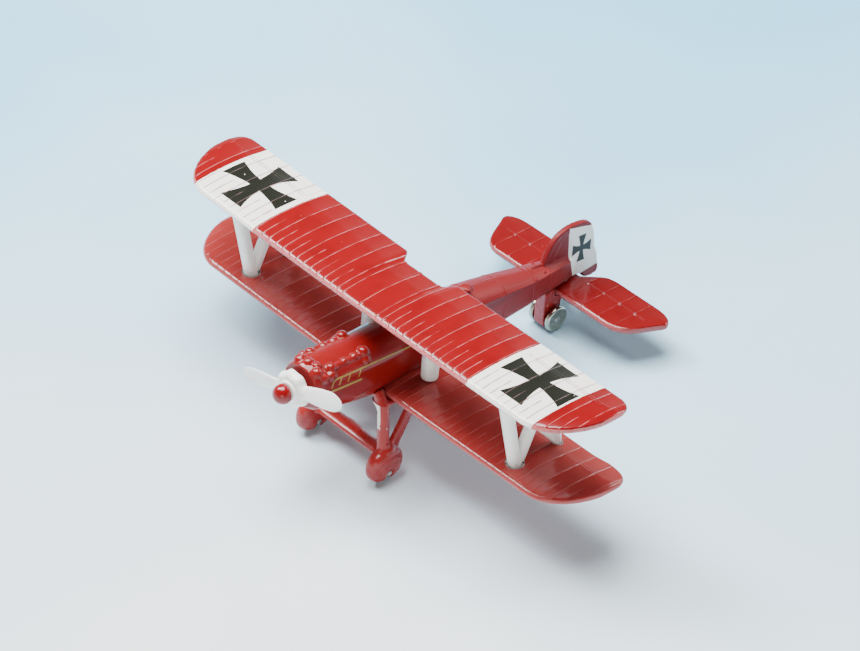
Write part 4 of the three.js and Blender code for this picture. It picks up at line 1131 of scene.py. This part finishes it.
def spat_cuts(side):
    """Wheel well and axle slot of a spat, both open below."""
    x, y = side * SPAT.x, SPAT.y
    through = 4
    cuts = Solid()
    for half_x, half_y, steps in ((WELL_HALF, WELL_RADIUS, 48), (through, SLOT_HALF, 32)):
        cuts += turned([(-half_x, half_y), (half_x, half_y)], (x, y, MAIN_AXLE_Z), (1, 0, 0), steps)
        cuts += cuboid((x - half_x, y - half_y, BELOW), (x + half_x, y + half_y, MAIN_AXLE_Z))
    return cuts


def leg_root(side):
    """Foot of the legs under the fuselage edge, faired into the front leg."""
    slab = loft([[(side * x, y, z) for x, y in LEG_FOOT] for z in (-21.5, -20.85)])
    fillet = []
    for drop in np.linspace(0, 1, 12):
        reach = (1 - drop) ** 2.2
        centre = (side * (7.15 + 0.75 * drop - 1.0 * reach), 2.7 - 0.45 * drop, -20.9 - 2.6 * drop)
        fillet.append(circle(centre, (1, 0, 0), (0, 1, 0), 1.15 + 0.9 * reach, 28, 1.15 + 0.25 * reach))
    shoulder = rod((side * 7.4, 2.5, -21.8), (side * 6.3, 2.75, -20.5), 1.2, 1.15)
    shoulder += rod((side * 6.4, 2.72, -20.6), (side * 5.0, 2.8, -19.3), 1.15, 1.2)
    return slab + loft(fillet) + shoulder


def legs(side):
    """Round front leg, flat rear leg, and the swelling where both meet the spat."""
    flat_across = (0, 0.72, -0.69)
    front = rod((side * 10, 0.9, -31), (side * 7.15, 2.65, -20.95), 1.25, 1.18)
    rear = []
    for share in np.linspace(0, 1, 10):
        centre = np.array([side * (9.9 - 2.7 * share), 2.8 + 9.7 * share, -31.05 + 10.1 * share])
        wide = 1.6 - 0.15 * share + 0.4 * max(0.0, 0.18 - share) / 0.18
        rear.append(circle(centre, flat_across, (1, 0, 0), wide, 28, 0.75))
    return front + loft(rear) + ball((side * 9.95, 1.5, -30.5), (1.65, 2.5, 1.4))


def fairing_bar():
    """Bar between the spats, uneven along its rear edge and thicker at both ends."""
    rings = []
    c, s = np.cos(around(FAIRING.points)), np.sin(around(FAIRING.points))
    for x in np.linspace(-FAIRING.half, FAIRING.half, 76):
        lump = 0.55 * math.exp(-((x + 1.2) / 2.3) ** 2) + 0.10 * math.sin(1.9 * x) * math.sin(0.7 * x + 1)
        blend = 0.5 * smoothstep(6.8, FAIRING.half, abs(x))
        ys = FAIRING.y + (FAIRING.half_chord + blend) * c + lump * smoothstep(0.2, 1.0, c)
        zs = FAIRING.z + (FAIRING.half_thick + 0.8 * blend) * s
        rings.append(np.stack([np.full(FAIRING.points, x), ys, zs], 1))
    return loft(rings)


def build_undercarriage():
    whole, cuts = fairing_bar(), Solid()
    for _, side in SIDES:
        whole += spat(side) + spat_seam(side) + leg_root(side) + legs(side)
        cuts += spat_cuts(side)
    obj = cast("Undercarriage", whole, cuts, voxel=0.13)
    nodes = ["port_main_gear", "starboard_main_gear", "axle_fairing"]
    place(obj, "airframe", nodes, RED_CAST)


def wheel_solid(side, radius, width, inner):
    """Wheel with a rounded rim and a dished outer face; inner is the centre of its inner face."""
    r = radius
    rim = [(0, r - 0.45), (0.06, r - 0.25), (0.16, r - 0.08), (0.3, r)]
    outer = [(width - 0.3, r), (width - 0.16, r - 0.08), (width - 0.05, r - 0.25), (width, r - 0.45)]
    dish = [(width - 0.04, r * 0.78), (width - 0.14, r * 0.72), (width - 0.14, AXLE_RADIUS)]
    return turned([(0, AXLE_RADIUS)] + rim + outer + dish, inner, (side, 0, 0), 96)


# Axles as (along, radius): the main one with a drilled outer end, and the tail one.
MAIN_PIN = [(-1.95, 0.3), (-1.95, 0.45), (-1.85, 0.55), (1.85, 0.55), (1.95, 0.45), (1.95, 0.3), (1.7, 0.22),
            (1.7, 0.1)]
TAIL_PIN = [(-2.86, 0.2), (-2.86, 0.45), (-2.78, 0.6), (2.78, 0.6), (2.86, 0.45), (2.86, 0.2)]


def build_wheels():
    main_wheel, tail_wheel = Sizes(radius=2.45, width=1.0), Sizes(radius=2.8, width=1.1, inner=1.75)
    for name, side in SIDES:
        centre = Vector((side * SPAT.x, SPAT.y, MAIN_AXLE_Z))
        inner = centre - Vector((side * main_wheel.width / 2, 0, 0))
        wheel = to_object(f"{name}_main_wheel", wheel_solid(side, main_wheel.radius, main_wheel.width, inner))
        place(wheel, f"{name}_main_wheel", [f"{name}_main_wheel"], PLATED)
        axle = to_object(f"{name}_main_axle", turned(MAIN_PIN, centre, (side, 0, 0), 40))
        place(axle, f"{name}_main_wheel", [f"{name}_main_axle"], STEEL)
        inner = TAIL_AXLE + Vector((side * tail_wheel.inner, 0, 0))
        tail = to_object(f"{name}_tail_wheel", wheel_solid(side, tail_wheel.radius, tail_wheel.width, inner))
        place(tail, "tail_wheels", [f"{name}_tail_wheel"], PLATED)
    axle = to_object("tail_axle_pin", turned(TAIL_PIN, TAIL_AXLE, (1, 0, 0), 40))
    place(axle, "tail_wheels", ["tail_axle"], STEEL)


# --- Bracket, belly plate and rivets -----------------------------------------------------

BRACKET = [(52.7, -20.9), (55.4, -20.9), (55.5, -22.75), (60.7, -22.8), (60.7, -23.55), (58.0, -23.6),
           (57.6, -24.4), (57.6, -28.2), (57.2, -29.1), (56.2, -29.45), (53.8, -29.45), (53.2, -29.2),
           (53.1, -28.4)]
BRACKET_HALF = 1.36
TAIL_RIVET = [(-0.5, 0.15), (-0.5, 0.6), (-0.35, 0.95), (-0.12, 1.08),
              (0, 1.05), (0, 0.5), (6, 0.5), (6, 0.3)]
BELLY_RIVET = [(-0.6, 0.2), (-0.6, 0.8), (-0.45, 1.25), (-0.2, 1.47), (0, 1.45), (0, 0.8), (6.4, 0.8),
               (6.5, 0.5)]
BELLY = [(-4.6, 4.8), (-3.4, 3.6), (3.4, 3.6), (4.6, 4.8), (4.6, 23.4), (4.2, 25.6), (2.2, 27), (-2.2, 27),
         (-4.2, 25.6), (-4.6, 23.4)]
BELLY_LAYERS = ((-21.6, 0.3), (-21.5, 0.1), (-21.35, 0.0), (-21.0, 0.0), (-20.82, 0.12))
BELLY_HALF_WIDTH, BELLY_HALF_LENGTH, BELLY_Y = 4.6, 11.7, 15.3


def build_bracket():
    bore = turned([(-4, 0.7), (4, 0.7)], TAIL_AXLE, (1, 0, 0), 32)
    obj = cast("Tail_wheel_bracket", plate(BRACKET, -BRACKET_HALF, BRACKET_HALF), bore, voxel=0.1)
    place(obj, "airframe", ["tail_wheel_bracket"], RED_CAST)
    rivet = to_object("tail_rivet_pin", turned(TAIL_RIVET, (0, 59.5, -23.9), (0, 0, 1), 40))
    place(rivet, "airframe", ["tail_rivet"], STEEL)


def build_belly():
    rings = []
    for z, inset in BELLY_LAYERS:
        wide, long = 1 - inset / BELLY_HALF_WIDTH, 1 - inset / BELLY_HALF_LENGTH
        rings.append([(x * wide, BELLY_Y + (y - BELLY_Y) * long, z) for x, y in BELLY])
    holes = Solid()
    for _, y in BELLY_RIVETS:
        holes += turned([(-24, 1.1), (-18, 1.1)], (0, y, 0), (0, 0, 1), 32)
    obj = cast("Belly_plate", loft(rings), holes)
    place(obj, "airframe", ["belly_plate"], RED_CAST)
    for name, y in BELLY_RIVETS:
        rivet = to_object(f"{name}_belly_rivet_pin", turned(BELLY_RIVET, (0, y, -21.9), (0, 0, 1), 40))
        place(rivet, "airframe", [f"{name}_belly_rivet"], STEEL)


build_upper_wing()
build_lower_wing()
build_tailplane()
build_fuselage()
build_struts()
build_propeller()
build_undercarriage()
build_wheels()
build_bracket()
build_belly()


# --- Floor, lights and camera ------------------------------------------------------------

# Area lights as (name, place, size, watts), all aimed just above the origin.
LIGHTS = (
    ("Overhead", (-0.12, 0.04, 0.58), 0.38, 9.6),
    ("Left_box", (-0.35, -0.11, 0.47), 0.20, 4.2),
    ("Back_box", (0.09, 0.53, 0.36), 0.20, 1.8),
    ("Low_box", (0.34, -0.42, 0.18), 0.24, 0.6),
)
AIM = Vector((0, 0, 0.02))
FLOOR_BLUE, FLOOR_PALE = (0.19, 0.55, 0.80), (0.86, 0.90, 0.91)
FLOOR_DRIFT = (2.7, -2.5, 0.0)
ROOM_COLOUR, ROOM_HORIZON, ROOM_ABOVE, ROOM_FADE = (1.0, 0.98, 0.95, 1), 1.3, 0.06, 0.50


def backdrop():
    """Pale floor that drifts from blue behind the aircraft to off-white in front of it."""
    bpy.ops.mesh.primitive_plane_add(size=6, location=(0, 0, 0))
    floor = bpy.context.object
    floor.name = "Floor"
    f = Finish("pale_backdrop")
    position = f.add("NewGeometry").outputs["Position"]
    noise = f.add("TexNoise", ("Vector", position), ("Scale", 6.0), ("Detail", 3.0))
    depth = f.add("VectorMath", (0, position), (1, FLOOR_DRIFT), operation="DOT_PRODUCT")
    share = f.x.op("ADD", noise.outputs["Fac"], depth.outputs["Value"], clamp=True)
    f.set(Base_Color=f.blend(FLOOR_BLUE, FLOOR_PALE, share), Roughness=0.9, Specular_IOR_Level=0.2)
    floor.data.materials.append(f.material)


def room():
    """Surroundings that are bright at the horizon and dark above."""
    world = bpy.data.worlds.new("soft_room")
    world.use_nodes = True
    tree = world.node_tree
    toward = add_node(tree, "TexCoord", ()).outputs["Generated"]
    height = add_node(tree, "SeparateXYZ", ((0, toward),)).outputs["Z"]
    fade = (("Value", height), ("From Min", 0.0), ("From Max", ROOM_FADE),
            ("To Min", ROOM_HORIZON), ("To Max", ROOM_ABOVE))
    strength = add_node(tree, "MapRange", fade).outputs["Result"]
    feed(tree, ROOM_COLOUR, tree.nodes["Background"].inputs["Color"])
    feed(tree, strength, tree.nodes["Background"].inputs["Strength"])
    bpy.context.scene.world = world


def lamps():
    for name, place_at, size, watts in LIGHTS:
        light = bpy.data.lights.new(name, "AREA")
        light.size = size
        light.energy = watts
        lamp = bpy.data.objects.new(name, light)
        lamp.location = place_at
        lamp.visible_camera = False
        lamp.rotation_euler = (AIM - Vector(place_at)).to_track_quat("-Z", "Y").to_euler()
        bpy.context.scene.collection.objects.link(lamp)


def camera():
    """Long lens that looks down on the port front quarter; distances are in mm from the aircraft's origin."""
    azimuth, elevation = math.radians(46.639), math.radians(42.384)
    distance, shift_right, shift_down = 1021.49, 13.952, 3.926
    level = Vector((math.sin(azimuth), -math.cos(azimuth), 0))
    back = level * math.cos(elevation) + Vector((0, 0, math.sin(elevation)))
    right = Vector((math.cos(azimuth), math.sin(azimuth), 0))
    up = back.cross(right)
    data = bpy.data.cameras.new("Camera")
    data.sensor_width = 36
    data.lens = 222.33
    data.clip_start = 0.05
    data.clip_end = 20
    data.dof.use_dof = False
    obj = bpy.data.objects.new("Camera", data)
    stand = origin + (back * distance + right * shift_right - up * shift_down) * MM
    facing = Matrix((right, up, back)).transposed().to_4x4()
    obj.matrix_world = Matrix.Translation(stand) @ facing
    bpy.context.scene.collection.objects.link(obj)
    bpy.context.scene.camera = obj


backdrop()
room()
lamps()
camera()
